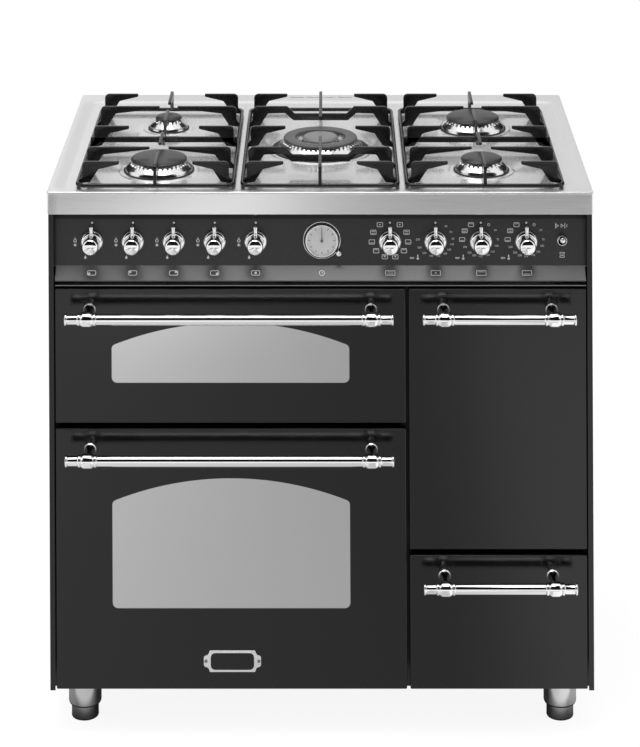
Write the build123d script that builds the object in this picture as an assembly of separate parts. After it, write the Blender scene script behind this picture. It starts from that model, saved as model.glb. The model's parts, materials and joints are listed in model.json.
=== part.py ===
"""A free-standing range cooker: gas hob, three electric ovens and a drawer.

X runs to the right, Y to the back and Z up. Depths are measured back from the worktop's front apron.
"""

import os
from math import cos, radians, sin

from build123d import *

os.makedirs("parts", exist_ok=True)

# Overall size
WIDTH = 900.0
DEPTH = 600.0
HEIGHT = 900.0

# Sheet thicknesses
WORKTOP_SHEET = 1.5
BODY_SHEET = 1.0
DOOR_SHEET = 1.2

# Worktop
APRON_H = 36.6
WELL_DROP = 3.0
WELL_SIDE = 14.0
WELL_FRONT = 13.0
WELL_BACK = 44.0
WELL_R = 12.0
WORKTOP_LAP = 1.5
VENT_FROM_BACK = 18.5
VENT_SLOT_H = 3.0
VENT_SPANS = ((-58.0, -32.0), (-27.0, 27.0), (32.0, 58.0))
DISH_RISE = 1.5
DISH_SLOPE = 2.5
DISH_MARGIN = 11.0
APRON_R = 1.4

# Cabinet
BODY_BOTTOM = 75.0
SIDE_EDGE = 8.5
FACE_DEPTH = 10.0
BACK_SPACE = 32.0
BACK_DROP = 40.0
REAR_FLANGE = 22.0
FRAME_DROP = 158.5
FRAME_SHEET = 1.5
BASE_SHEET = 1.5
BASE_SKIRT = 16.0
BACK_VENT_DROP = 180.0
BACK_VENT_PITCH = 30.0
BACK_VENT_ROWS = 5
BACK_VENT_H = 5.0
BACK_VENT_X0 = 50.0
BACK_VENT_X1 = 250.0

# Doors and drawer
DOOR_SIDE_GAP = 2.0
RIGHT_W = 292.5
DOOR_SPLIT_GAP = 5.5
DOOR_FOOT_GAP = 2.0
DOOR_TOP_GAP = 4.5
SHORT_H = 221.0
DOOR_GAP = 9.5
DOOR_T = 40.0
DOOR_RETURN = 14.0
DOOR_R = 2.0
DOOR_EDGE_R = 1.6
LINER_INSET = 12.0
LINER_FOOT = 20.0
SEAL_SPACE = 6.0
SEAL_W = 8.0
SEAL_PLAY = 0.4

# Hinges
HINGE_BACK = 12.0
HINGE_UP = 12.0
HINGE_FROM_EDGE = 45.0
ARM_W = 6.0
ARM_R = 5.0
PIN_R = 4.0
LUG_W = 10.0
RUN_FIT = 0.06

# Windows
WINDOW_FROM_EDGE = 93.0
WINDOW_RISE = 38.0
WINDOW_R = 9.0
GLASS_T = 4.0
GLASS_LAP = 12.0
UPPER_WINDOW_FOOT = 66.0
UPPER_WINDOW_HEAD = 55.0
MAIN_WINDOW_FOOT = 133.0
MAIN_WINDOW_HEAD = 81.5

# Handles
BAR_R = 8.75
BAR_END_R = 8.2
BAR_STANDOFF = 48.0
BAR_DROP = 33.5
BAR_MARGIN = 21.0
BOSS_R = 12.2
BOSS_L = 20.0
BOSS_FROM_END = 36.0
RING_R = 10.4
RING_L = 3.0
POST_R = 6.0
ROSETTE_R = 10.5
ROSETTE_T = 4.0

# Nameplate
PLATE_W = 94.0
PLATE_H = 34.0
PLATE_T = 1.5
PLATE_UP = 45.0

# Control panel
PANEL_DEPTH = 28.0
PANEL_DROP = 132.0
LIP_DROP = 150.5
LIP_DEPTH = 11.0
PANEL_SHEET = 1.2
PANEL_FLANGE = 20.0
PANEL_FLANGE_SHORT = 47.5
DEFLECTOR_T = 1.5
DEFLECTOR_DEPTH = 12.0

# Knobs
KNOB_DROP = 90.0
GAS_KNOBS = 5
GAS_KNOB_FROM_SIDE = 70.2
GAS_KNOB_PITCH = 67.8
OVEN_KNOBS = 4
OVEN_KNOB_FROM_SIDE = 107.2
OVEN_KNOB_PITCH = 75.3
STEM_R = 4.0
STEM_IN = 17.0
NECK_R = 7.5
HEAD_R = 13.4
HEAD_FROM = 20.0
HEAD_TO = 35.0
HEAD_DOME = 6.0
POINTER_OFF = 17.0
POINTER_REACH = 29.0
POINTER_R0 = 2.6
POINTER_R1 = 3.7
BEZEL_R = 19.5
BEZEL_H = 8.0

# Clock
CLOCK_X = 2.5
CLOCK_DROP = 88.0
CLOCK_FLANGE_R = 31.0
CLOCK_BEZEL_R = 27.2
CLOCK_DIAL_R = 24.5
CLOCK_CUP_R = 23.0
CLOCK_CUP_L = 22.0
CLOCK_H = 6.6
DIAL_H = 2.5
HAND_T = 0.5
MINUTE_LEN = 21.0
HOUR_LEN = 14.0
SETTER_DX = 28.0
SETTER_DZ = -19.5
SETTER_R = 4.5
SETTER_H = 13.0

# Toggle switch
TOGGLE_FROM_SIDE = 48.0
TOGGLE_DROP = 88.0
TOGGLE_R = 9.2
TOGGLE_PIVOT = 6.0
TOGGLE_LEN = 20.0
TOGGLE_BALL_R = 5.5
TOGGLE_TILT = -12.0

# Legs
LEG_FROM_SIDE = 50.5
LEG_FRONT = 80.0
LEG_FROM_BACK = 80.0
SLEEVE_R = 27.25
SLEEVE_FOOT = 25.0
FOOT_R = 22.5
FOOT_STEM_R = 5.0

# Ovens
LEFT_MOUTH_SIDE = 54.0
RIGHT_MOUTH_LEFT = 26.5
RIGHT_MOUTH_RIGHT = 27.0
UPPER_MOUTH_FOOT = 32.0
UPPER_MOUTH_HEAD = 25.0
MAIN_MOUTH_FOOT = 38.0
MAIN_MOUTH_HEAD = 31.5
SIDE_MOUTH_FOOT = 39.0
SIDE_MOUTH_HEAD = 30.5
DRAWER_MOUTH_FOOT = 13.0
DRAWER_MOUTH_HEAD = 8.0
CAVITY_SPACE = 88.0
UPPER_SHELF_UP = 48.0
MAIN_SHELF_UP = 110.0
SIDE_SHELF_UP = 123.5
LEDGE_ABOVE = 90.0
LEDGE_BELOW = 70.0
LEDGE_SETBACK = 20.0
FLANGE_W = 9.0
LEDGE_W = 7.0
LEDGE_T = 3.0
SHELF_ROD = 2.5
SHELF_PITCH = 26.0
SHELF_SETBACK = 30.0
SHELF_PLAY = 4.0
ELEMENT_R = 3.4
ELEMENT_BEND = 18.0
ELEMENT_DROP = 16.0
ELEMENT_SIDE = 40.0
ELEMENT_SETBACK = 52.5
ELEMENT_REAR = 45.0

# Oven fan
FAN_R = 62.0
FAN_HUB_R = 12.0
FAN_BLADES = 10
FAN_SHAFT_R = 4.0
FAN_L = 24.0
FAN_DISC_T = 2.0
FAN_BLADE_W = 22.0
FAN_BLADE_T = 1.6
FAN_SETBACK = 16.0
FAN_ROOM = 56.0
FAN_COVER_R = 92.0
FAN_COVER_T = 1.5
MOTOR_R = 32.0
MOTOR_L = 64.0
SHAFT_L = 48.0

# Drawer
DRAWER_SPACE = 50.0
DRAWER_BOX_UP = 5.0
DRAWER_BOX_H = 150.0
RAIL_UP = 60.0
RAIL_H = 10.0
RAIL_W = 10.0

# Gas side
RAIL_BEHIND = 42.8
RAIL_R = 8.0
TAP_R = 11.0
INLET_X = -60.0
INLET_R = 10.48
INLET_SHORT = 4.0
INLET_NUT_R = 17.0
PIPE_R = 4.0
PIPE_RISE = 25.0
PIPE_STEP = 4.8
PIPE_BEND = 6.0
PIPE_BEHIND = 26.0
SWITCH_HALF = 18.0
SWITCH_L = 42.8
ROCKER_L = 32.8
ROCKER_SLOT = 16.8

# Burners
FRONT_ROW = 125.5
REAR_ROW = 127.5
THROAT_SHARE = 0.62
CROWN_BORE_SHARE = 0.4
CUP_WALL = 3.0
CUP_H = 26.0
CROWN_H = 17.0
CAP_T = 4.0
CAP_DOME = 4.0
PORT_W = 1.8
PORT_H = 3.2
WOK_RING_R = 64.5
WOK_HOLE_R = 43.0
WOK_INNER_R = 31.0
WOK_BASE_R = 74.0

# Pan supports
SUPPORT_SIDE = 30.5
SUPPORT_GAP = 9.5
SUPPORT_FRONT = 8.0
SUPPORT_BACK = 68.0
SUPPORT_ROD = 3.0
SUPPORT_LIFT = 3.5
SUPPORT_RISE = 38.0
SUPPORT_FOOT_R = 3.2
SUPPORT_FOOT_IN = 30.0
SUPPORT_R = 14.0
BLADE_T = 5.5
BLADE_INSET = 10.0
ROW_END = 23.5
SHORT_FINGER = 61.0
LONG_FINGER = 106.0
DIP = 13.0
DIP_HALF = 47.0
DIP_SLOPE = 13.0
CROSS_BAR_H = 9.5

# Derived positions across the width
BODY_W = WIDTH - 2 * WORKTOP_LAP
BODY_HALF = BODY_W / 2
INNER_HALF = BODY_HALF - BODY_SHEET
DOOR_X1 = BODY_HALF - SIDE_EDGE - DOOR_SIDE_GAP
DOOR_X0 = -DOOR_X1
RIGHT_X0 = DOOR_X1 - RIGHT_W
DOOR_SPLIT = RIGHT_X0 - DOOR_SPLIT_GAP
LEFT_MID = (DOOR_X0 + DOOR_SPLIT) / 2
WINDOW_W = DOOR_SPLIT - DOOR_X0 - 2 * WINDOW_FROM_EDGE
LEFT_MOUTH_X0 = DOOR_X0 + LEFT_MOUTH_SIDE
LEFT_MOUTH_X1 = DOOR_SPLIT - LEFT_MOUTH_SIDE
RIGHT_MOUTH_X0 = RIGHT_X0 + RIGHT_MOUTH_LEFT
RIGHT_MOUTH_X1 = DOOR_X1 - RIGHT_MOUTH_RIGHT
LIP_W = DOOR_X1 - DOOR_X0
GAS_KNOB_X = tuple(GAS_KNOB_FROM_SIDE - BODY_HALF + n * GAS_KNOB_PITCH for n in range(GAS_KNOBS))
OVEN_KNOB_X = tuple(
    BODY_HALF - OVEN_KNOB_FROM_SIDE - n * OVEN_KNOB_PITCH for n in reversed(range(OVEN_KNOBS))
)
TOGGLE_X = BODY_HALF - TOGGLE_FROM_SIDE
LEG_X = BODY_HALF - LEG_FROM_SIDE
SUPPORT_W = (WIDTH - 2 * WELL_SIDE - 2 * SUPPORT_SIDE - 2 * SUPPORT_GAP) / 3
BURNER_X = SUPPORT_W + SUPPORT_GAP

# Derived depths
FRONT_REACH = BAR_STANDOFF + BOSS_R - FACE_DEPTH
FRONT_Y = -(DEPTH - FRONT_REACH) / 2
FRAME_DEPTH = FACE_DEPTH + DOOR_T + SEAL_SPACE
FRAME_BACK = FRAME_DEPTH + FRAME_SHEET
HINGE_DEPTH = FACE_DEPTH + HINGE_BACK
PANEL_BACK = PANEL_DEPTH + PANEL_SHEET
BACK_DEPTH = DEPTH - BACK_SPACE
CAVITY_BACK = BACK_DEPTH - CAVITY_SPACE
FAN_COVER_DEPTH = CAVITY_BACK - FAN_ROOM
FAN_DEPTH = FAN_COVER_DEPTH + FAN_SETBACK
DRAWER_BACK = CAVITY_BACK - DRAWER_SPACE
RAIL_DEPTH = PANEL_BACK + RAIL_BEHIND
INLET_TO = DEPTH - INLET_SHORT
VENT_DEPTH = DEPTH - VENT_FROM_BACK
LEG_REAR = DEPTH - LEG_FROM_BACK
SUPPORT_D = DEPTH - WELL_FRONT - WELL_BACK - SUPPORT_FRONT - SUPPORT_BACK
MID_BURNER = WELL_FRONT + SUPPORT_FRONT + SUPPORT_D / 2
FRONT_BURNER = MID_BURNER - FRONT_ROW
REAR_BURNER = MID_BURNER + REAR_ROW
ROW_INNER = (FRONT_ROW + REAR_ROW) / 2
ROW_OUTER = SUPPORT_D / 2 - ROW_END

# Derived heights
WELL_Z = HEIGHT - WELL_DROP
WELL_UNDER = WELL_Z - WORKTOP_SHEET
DISH_Z = WELL_Z + DISH_RISE
CROWN_TOP = DISH_Z + CROWN_H
SUPPORT_TOP = HEIGHT + SUPPORT_RISE
BACK_TOP = HEIGHT - BACK_DROP
PANEL_FOOT = HEIGHT - PANEL_DROP
LIP_FOOT = HEIGHT - LIP_DROP
KNOB_Z = HEIGHT - KNOB_DROP
CLOCK_Z = HEIGHT - CLOCK_DROP
TOGGLE_Z = HEIGHT - TOGGLE_DROP
PIPE_LEVEL = KNOB_Z + PIPE_RISE
FRAME_TOP = HEIGHT - FRAME_DROP
BASE_TOP = BODY_BOTTOM + BASE_SHEET
DOOR_Z0 = BODY_BOTTOM + DOOR_FOOT_GAP
DOOR_Z1 = FRAME_TOP - DOOR_TOP_GAP
TALL_H = DOOR_Z1 - DOOR_Z0 - DOOR_GAP - SHORT_H
UPPER_Z0 = DOOR_Z0 + TALL_H + DOOR_GAP
SIDE_Z0 = DOOR_Z0 + SHORT_H + DOOR_GAP
UPPER_WINDOW_SIDE = SHORT_H - UPPER_WINDOW_FOOT - WINDOW_RISE - UPPER_WINDOW_HEAD
MAIN_WINDOW_SIDE = TALL_H - MAIN_WINDOW_FOOT - WINDOW_RISE - MAIN_WINDOW_HEAD
UPPER_MOUTH = (UPPER_Z0 + UPPER_MOUTH_FOOT, DOOR_Z1 - UPPER_MOUTH_HEAD)
MAIN_MOUTH = (DOOR_Z0 + MAIN_MOUTH_FOOT, DOOR_Z0 + TALL_H - MAIN_MOUTH_HEAD)
SIDE_MOUTH = (SIDE_Z0 + SIDE_MOUTH_FOOT, DOOR_Z1 - SIDE_MOUTH_HEAD)
DRAWER_MOUTH = (DOOR_Z0 + DRAWER_MOUTH_FOOT, DOOR_Z0 + SHORT_H - DRAWER_MOUTH_HEAD)
UPPER_SHELF = UPPER_MOUTH[0] + UPPER_SHELF_UP
MAIN_SHELF = MAIN_MOUTH[0] + MAIN_SHELF_UP
SIDE_SHELF = SIDE_MOUTH[0] + SIDE_SHELF_UP
RAIL_Z = DRAWER_MOUTH[0] + RAIL_UP
FAN_Z = (MAIN_MOUTH[0] + MAIN_MOUTH[1]) / 2
MOUTHS = (
    (LEFT_MOUTH_X0, LEFT_MOUTH_X1, *UPPER_MOUTH),
    (LEFT_MOUTH_X0, LEFT_MOUTH_X1, *MAIN_MOUTH),
    (RIGHT_MOUTH_X0, RIGHT_MOUTH_X1, *SIDE_MOUTH),
)


def block(x0, x1, d0, d1, z0, z1):
    """A box between two x, two depths and two heights."""
    return Pos((x0 + x1) / 2, FRONT_Y + (d0 + d1) / 2, (z0 + z1) / 2) * Box(x1 - x0, d1 - d0, z1 - z0)


def rod_x(r, x0, x1, d, z):
    return Pos((x0 + x1) / 2, FRONT_Y + d, z) * Rot(0, 90, 0) * Cylinder(r, x1 - x0)


def rod_y(r, x, d0, d1, z):
    return Pos(x, FRONT_Y + (d0 + d1) / 2, z) * Rot(90, 0, 0) * Cylinder(r, d1 - d0)


def rod_z(r, x, d, z0, z1):
    return Pos(x, FRONT_Y + d, (z0 + z1) / 2) * Cylinder(r, z1 - z0)


def turned(points):
    """A profile of radius and height, turned about the Z axis."""
    wire = Polyline(*[(r, 0, h) for r, h in points], close=True)
    return revolve(make_face(wire), Axis.Z)


def front_turned(points, x, d, z):
    """A turned piece whose heights point out of the front."""
    return Pos(x, FRONT_Y + d, z) * Rot(90, 0, 0) * turned(points)


def front_plane(x, d, z):
    return Plane(origin=(x, FRONT_Y + d, z), x_dir=(1, 0, 0), z_dir=(0, -1, 0))


def slab(x0, x1, z0, z1, d0, d1, r):
    """An upright plate with rounded corners between two depths."""
    plane = front_plane((x0 + x1) / 2, d1, (z0 + z1) / 2)
    return extrude(plane * RectangleRounded(x1 - x0, z1 - z0, r), d1 - d0)


def plate_xz(points, d, t):
    """An upright plate across the width, from points of x and z."""
    wire = Polyline(*[(x, FRONT_Y + d - t / 2, z) for x, z in points], close=True)
    return extrude(make_face(wire), t, dir=(0, 1, 0))


def plate_yz(points, x, t):
    """An upright plate from front to back, from points of depth and z."""
    wire = Polyline(*[(x - t / 2, FRONT_Y + d, z) for d, z in points], close=True)
    return extrude(make_face(wire), t, dir=(1, 0, 0))


def profile_x(points, x0, x1):
    """A section of depth and z drawn out along the width."""
    wire = Polyline(*[(x0, FRONT_Y + d, z) for d, z in points], close=True)
    return extrude(make_face(wire), x1 - x0, dir=(1, 0, 0))


def pipe(points, r, bend):
    """A round tube along a bent line of x, depth and z."""
    path = FilletPolyline(*[(x, FRONT_Y + d, z) for x, d, z in points], radius=bend)
    return sweep((path ^ 0) * Circle(r), path=path)


def save(name, *pieces):
    solids = []
    for piece in pieces:
        solids += list(piece.solids())
    shape = solids[0] if len(solids) == 1 else Compound(solids)
    export_step(shape, "parts/" + name + ".step")


# Burner layout: x, depth, cap radius, base radius, number of flame ports
BURNERS = (
    (-BURNER_X, FRONT_BURNER, 47.5, 57.5, 36),
    (-BURNER_X, REAR_BURNER, 23.5, 34.5, 20),
    (BURNER_X, REAR_BURNER, 47.5, 57.0, 36),
    (BURNER_X, FRONT_BURNER, 35.0, 45.0, 28),
)
WOK = (0.0, MID_BURNER)


# Worktop
outer = block(-WIDTH / 2, WIDTH / 2, 0, DEPTH, HEIGHT - APRON_H, HEIGHT)
rim_void = block(
    -WIDTH / 2 + WORKTOP_SHEET, WIDTH / 2 - WORKTOP_SHEET, WORKTOP_SHEET, DEPTH - WORKTOP_SHEET,
    HEIGHT - APRON_H, HEIGHT - WORKTOP_SHEET,
)


def well(grow, z0, z1):
    w = WIDTH - 2 * WELL_SIDE + 2 * grow
    h = DEPTH - WELL_FRONT - WELL_BACK + 2 * grow
    y = FRONT_Y + (WELL_FRONT + DEPTH - WELL_BACK) / 2
    return extrude(Pos(0, y, z0) * RectangleRounded(w, h, WELL_R + grow), z1 - z0)


worktop = outer - (rim_void - well(WORKTOP_SHEET, WELL_UNDER, HEIGHT - WORKTOP_SHEET))
worktop -= well(0, WELL_Z, HEIGHT)
for x, d, cap_r, base_r, ports in BURNERS + ((*WOK, WOK_RING_R, WOK_BASE_R, 0),):
    dish_r = base_r + DISH_MARGIN
    dish = turned((
        (0, WELL_UNDER), (dish_r, WELL_UNDER), (dish_r, WELL_Z), (dish_r - DISH_SLOPE, DISH_Z), (0, DISH_Z),
    ))
    worktop += Pos(x, FRONT_Y + d, 0) * dish
    worktop -= rod_z(THROAT_SHARE * cap_r, x, d, WELL_UNDER - 1, DISH_Z + 1)
for x0, x1 in VENT_SPANS:
    slot = VENT_SLOT_H / 2
    worktop -= block(x0, x1, VENT_DEPTH - slot, VENT_DEPTH + slot, HEIGHT - 2 * WORKTOP_SHEET, HEIGHT + 1)
apron_edges = worktop.edges().filter_by(Axis.X).group_by(Axis.Z)[-1].group_by(Axis.Y)[0]
worktop = fillet(apron_edges, APRON_R)
save("worktop", worktop)


# Cabinet sides, with a folded front edge and a rear flange
def side_panel(sign):
    skin = block(INNER_HALF, BODY_HALF, FACE_DEPTH, BACK_DEPTH, BODY_BOTTOM, HEIGHT - WORKTOP_SHEET)
    edge = block(
        BODY_HALF - SIDE_EDGE, BODY_HALF, FACE_DEPTH, FACE_DEPTH + BODY_SHEET, BODY_BOTTOM, HEIGHT - APRON_H,
    )
    flange_x = BODY_HALF - REAR_FLANGE
    rear = block(flange_x, BODY_HALF, BACK_DEPTH - BODY_SHEET, BACK_DEPTH, BODY_BOTTOM, BACK_TOP)
    panel = skin + edge + rear
    return panel if sign > 0 else mirror(panel, Plane.YZ)


save("side_panels", side_panel(1), side_panel(-1))

back = block(-BODY_HALF, BODY_HALF, BACK_DEPTH, BACK_DEPTH + BODY_SHEET, BODY_BOTTOM, BACK_TOP)
back -= rod_y(INLET_R + 2.5, INLET_X, BACK_DEPTH - 1, BACK_DEPTH + 2, KNOB_Z)
for n in range(BACK_VENT_ROWS):
    z = BACK_TOP - BACK_VENT_DROP - n * BACK_VENT_PITCH
    for x0, x1 in ((-BACK_VENT_X1, -BACK_VENT_X0), (BACK_VENT_X0, BACK_VENT_X1)):
        back -= block(x0, x1, BACK_DEPTH - 1, BACK_DEPTH + BODY_SHEET + 1, z, z + BACK_VENT_H)
save("back_panel", back)

base = block(-INNER_HALF, INNER_HALF, FRAME_DEPTH, BACK_DEPTH - BODY_SHEET, BODY_BOTTOM, BASE_TOP)
for x in (-LEG_X, LEG_X):
    for d in (LEG_FRONT, LEG_REAR):
        base -= rod_z(FOOT_STEM_R + 1, x, d, BODY_BOTTOM - 1, BASE_TOP + 1)
clear = SLEEVE_R + 3
for x0, x1 in (
    (-INNER_HALF, -LEG_X - clear), (clear - LEG_X, LEG_X - clear), (LEG_X + clear, INNER_HALF),
):
    base += block(x0, x1, FRAME_DEPTH, FRAME_DEPTH + BASE_SHEET, BODY_BOTTOM - BASE_SKIRT, BASE_TOP)
save("base_pan", base)

frame = block(-INNER_HALF, INNER_HALF, FRAME_DEPTH, FRAME_BACK, BASE_TOP, FRAME_TOP)
for x0, x1, z0, z1 in MOUTHS:
    frame -= block(x0, x1, FRAME_DEPTH - 1, FRAME_BACK + 1, z0, z1)
frame -= block(
    RIGHT_X0 + LINER_INSET, DOOR_X1 - LINER_INSET, FRAME_DEPTH - 1, FRAME_BACK + 1, *DRAWER_MOUTH,
)
save("front_frame", frame)

save("heat_deflector", block(
    -LIP_W / 2, LIP_W / 2, DEFLECTOR_DEPTH, FRAME_BACK, FRAME_TOP, FRAME_TOP + DEFLECTOR_T,
))


# Oven liners with shelf ledges
def oven_liner(x0, x1, z0, z1, ledges):
    t = BODY_SHEET
    shell = block(x0 - t, x1 + t, FRAME_BACK, CAVITY_BACK + t, z0 - t, z1 + t)
    flange = block(
        x0 - FLANGE_W, x1 + FLANGE_W, FRAME_BACK, FRAME_BACK + t, z0 - FLANGE_W, z1 + FLANGE_W,
    )
    body = shell + flange - block(x0, x1, FRAME_BACK - 1, CAVITY_BACK, z0, z1)
    for z in ledges:
        body += block(x0, x0 + LEDGE_W, FRAME_BACK + LEDGE_SETBACK, CAVITY_BACK, z, z + LEDGE_T)
        body += block(x1 - LEDGE_W, x1, FRAME_BACK + LEDGE_SETBACK, CAVITY_BACK, z, z + LEDGE_T)
    return body


def ledges(shelf_z):
    return (shelf_z, shelf_z + LEDGE_ABOVE, shelf_z - LEDGE_BELOW)


save("upper_oven_liner", oven_liner(*MOUTHS[0], (UPPER_SHELF,)))
main_liner = oven_liner(*MOUTHS[1], ledges(MAIN_SHELF))
main_liner -= rod_y(FAN_SHAFT_R + 3, LEFT_MID, CAVITY_BACK - 1, CAVITY_BACK + 3, FAN_Z)
save("main_oven_liner", main_liner)
save("side_oven_liner", oven_liner(*MOUTHS[2], ledges(SIDE_SHELF)))


def shelf(x0, x1, ledge):
    """A wire shelf: a rod frame with cross rods, lying on two ledges."""
    z = ledge + LEDGE_T + SHELF_ROD
    d0 = FRAME_BACK + SHELF_SETBACK
    d1 = FAN_COVER_DEPTH - 10
    a, b = x0 + SHELF_PLAY, x1 - SHELF_PLAY
    rods = [rod_y(SHELF_ROD, a, d0, d1, z), rod_y(SHELF_ROD, b, d0, d1, z)]
    rods += [rod_x(SHELF_ROD, a, b, d0, z), rod_x(SHELF_ROD, a, b, d1, z)]
    count = int((b - a) / SHELF_PITCH)
    for n in range(1, count):
        rods.append(rod_y(0.7 * SHELF_ROD, a + n * (b - a) / count, d0, d1, z))
    for x in (a, b):
        for d in (d0, d1):
            rods.append(Pos(x, FRONT_Y + d, z) * Sphere(SHELF_ROD))
    return rods[0].fuse(*rods[1:])


save(
    "oven_shelves",
    shelf(LEFT_MOUTH_X0, LEFT_MOUTH_X1, UPPER_SHELF),
    shelf(LEFT_MOUTH_X0, LEFT_MOUTH_X1, MAIN_SHELF),
    shelf(RIGHT_MOUTH_X0, RIGHT_MOUTH_X1, SIDE_SHELF),
)


def seal(x0, x1, z0, z1):
    d0 = FACE_DEPTH + DOOR_T + SEAL_PLAY
    grow = SEAL_W + 2
    ring = slab(x0 - grow, x1 + grow, z0 - grow, z1 + grow, d0, FRAME_DEPTH, 12)
    return ring - slab(x0 - 2, x1 + 2, z0 - 2, z1 + 2, d0 - 1, FRAME_DEPTH + 1, 5)


save("door_seals", *[seal(*mouth) for mouth in MOUTHS])


def element(x0, x1, z, d0):
    """A heating element bent into two loops below an oven roof."""
    a, b = x0 + ELEMENT_SIDE, x1 - ELEMENT_SIDE
    m, n = a + (b - a) / 3, b - (b - a) / 3
    deep = CAVITY_BACK - ELEMENT_REAR
    points = (
        (a, CAVITY_BACK, z), (a, d0, z), (m, d0, z), (m, deep, z), (n, deep, z), (n, d0, z), (b, d0, z),
        (b, CAVITY_BACK, z),
    )
    return pipe(points, ELEMENT_R, ELEMENT_BEND)


element_front = FRAME_BACK + ELEMENT_SETBACK
save("heating_elements", *[element(x0, x1, z1 - ELEMENT_DROP, element_front) for x0, x1, z0, z1 in MOUTHS])

# Oven fan
motor_front = CAVITY_BACK + BODY_SHEET
shaft_end = CAVITY_BACK + SHAFT_L
motor = rod_y(MOTOR_R, LEFT_MID, motor_front, motor_front + MOTOR_L, FAN_Z)
motor -= rod_y(FAN_SHAFT_R + RUN_FIT, LEFT_MID, CAVITY_BACK, shaft_end + 2, FAN_Z)
save("fan_motor", motor)
disc_d = FAN_DEPTH + FAN_L - FAN_DISC_T
impeller = rod_y(FAN_HUB_R, LEFT_MID, FAN_DEPTH - FAN_DISC_T, FAN_DEPTH + FAN_L, FAN_Z)
impeller += rod_y(FAN_R, LEFT_MID, disc_d, FAN_DEPTH + FAN_L, FAN_Z)
impeller += rod_y(FAN_SHAFT_R, LEFT_MID, disc_d - FAN_DISC_T, shaft_end, FAN_Z)
for n in range(FAN_BLADES):
    blade = Pos(FAN_R - 14, 0, 0) * Rot(0, 25, 0) * Box(FAN_BLADE_W, FAN_BLADE_W, FAN_BLADE_T)
    turn = Rot(0, n * 360 / FAN_BLADES, 0)
    impeller += Pos(LEFT_MID, FRONT_Y + disc_d + 0.5 - FAN_BLADE_W / 2, FAN_Z) * turn * blade
save("fan_impeller", impeller)
cover = rod_y(FAN_COVER_R, LEFT_MID, FAN_COVER_DEPTH, FAN_COVER_DEPTH + FAN_COVER_T, FAN_Z)
holes = []
for n in range(12):
    a = radians(n * 30)
    for r, hole_r in ((26, 4.5), (44, 6.5), (64, 8.5)):
        holes.append(rod_y(
            hole_r, LEFT_MID + r * cos(a), FAN_COVER_DEPTH - 1, FAN_COVER_DEPTH + 3, FAN_Z + r * sin(a),
        ))
cover = cover.cut(*holes)
for n in range(4):
    a = radians(45 + 90 * n)
    r = FAN_COVER_R - 8
    cover += rod_y(4, LEFT_MID + r * cos(a), FAN_COVER_DEPTH + 0.5, CAVITY_BACK, FAN_Z + r * sin(a))
save("fan_cover", cover)


# Doors
def hinge_xs(x0, x1):
    return ((x0 + HINGE_FROM_EDGE, 1), (x1 - HINGE_FROM_EDGE, -1))


def tray(x0, x1, z0, z1):
    """A folded door skin: a face with returns on four sides."""
    skin = slab(x0, x1, z0, z1, FACE_DEPTH, FACE_DEPTH + DOOR_RETURN, DOOR_R)
    front = skin.faces().sort_by(Axis.Y)[0]
    skin = fillet(front.edges(), DOOR_EDGE_R)
    t = DOOR_SHEET
    return skin - block(x0 + t, x1 - t, FACE_DEPTH + t, FACE_DEPTH + DOOR_RETURN + 1, z0 + t, z1 - t)


def arch(x, z0, side, grow, d):
    """The outline of an arched window on a plane at a depth."""
    w = WINDOW_W / 2 + grow
    a, b, c = z0 - grow, z0 + side + grow, z0 + side + WINDOW_RISE + grow
    edges = [
        Line((-w, a), (w, a)),
        Line((w, a), (w, b)),
        ThreePointArc((w, b), (0, c), (-w, b)),
        Line((-w, b), (-w, a)),
    ]
    face = make_face(edges)
    face = fillet(face.vertices(), WINDOW_R + grow)
    return front_plane(x, d, 0) * face


def door_panel(x0, x1, z0, z1, hinged=True, window=None):
    panel = tray(x0, x1, z0, z1)
    if hinged:
        for x, side in hinge_xs(x0, x1):
            panel -= block(x - ARM_W, x + ARM_W, FACE_DEPTH + 5, HINGE_DEPTH + 8, z0 - 1, z0 + 3)
    if window:
        panel -= extrude(arch((x0 + x1) / 2, *window, 0, FACE_DEPTH + 3), 5)
    return panel


def door_glass(x0, x1, window):
    """The front pane behind the window with its raised field, and the inner pane."""
    x = (x0 + x1) / 2
    behind = FACE_DEPTH + DOOR_SHEET
    pane = extrude(arch(x, *window, GLASS_LAP, behind + GLASS_T), GLASS_T)
    pane += extrude(arch(x, *window, -0.3, behind + 0.5), DOOR_SHEET - 0.1)
    return pane


def door_liner(x0, x1, z0, z1, window=None):
    t = BODY_SHEET
    a, b = x0 + LINER_INSET, x1 - LINER_INSET
    low, high = z0 + LINER_FOOT, z1 - LINER_INSET
    d0, d1 = FACE_DEPTH + DOOR_SHEET, FACE_DEPTH + DOOR_T
    body = block(a, b, d0, d1, low, high) - block(a + t, b - t, d0 - 1, d1 - t, low + t, high - t)
    if window:
        body -= extrude(arch((x0 + x1) / 2, *window, -6, d1 + 1), 4)
    z = z0 + HINGE_UP
    for x, side in hinge_xs(x0, x1):
        near = x + side * (ARM_W / 2 + 0.5)
        far = near + side * LUG_W
        lug = block(min(near, far), max(near, far), HINGE_DEPTH - 8, HINGE_DEPTH + 8, z - 8, low + 0.5)
        body += lug - rod_x(PIN_R + RUN_FIT, min(near, far) - 1, max(near, far) + 1, HINGE_DEPTH, z)
    return body


def hinge_arms(x0, x1, z0):
    z = z0 + HINGE_UP
    arms = []
    for x, side in hinge_xs(x0, x1):
        arm = block(x - ARM_W / 2, x + ARM_W / 2, HINGE_DEPTH, FRAME_DEPTH, z - ARM_R, z + ARM_R)
        arm += rod_x(ARM_R, x - ARM_W / 2, x + ARM_W / 2, HINGE_DEPTH, z)
        tip = x + side * (ARM_W / 2 + LUG_W - 1)
        arm += rod_x(PIN_R, min(x, tip), max(x, tip), HINGE_DEPTH, z)
        arms.append(arm)
    return arms


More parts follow.
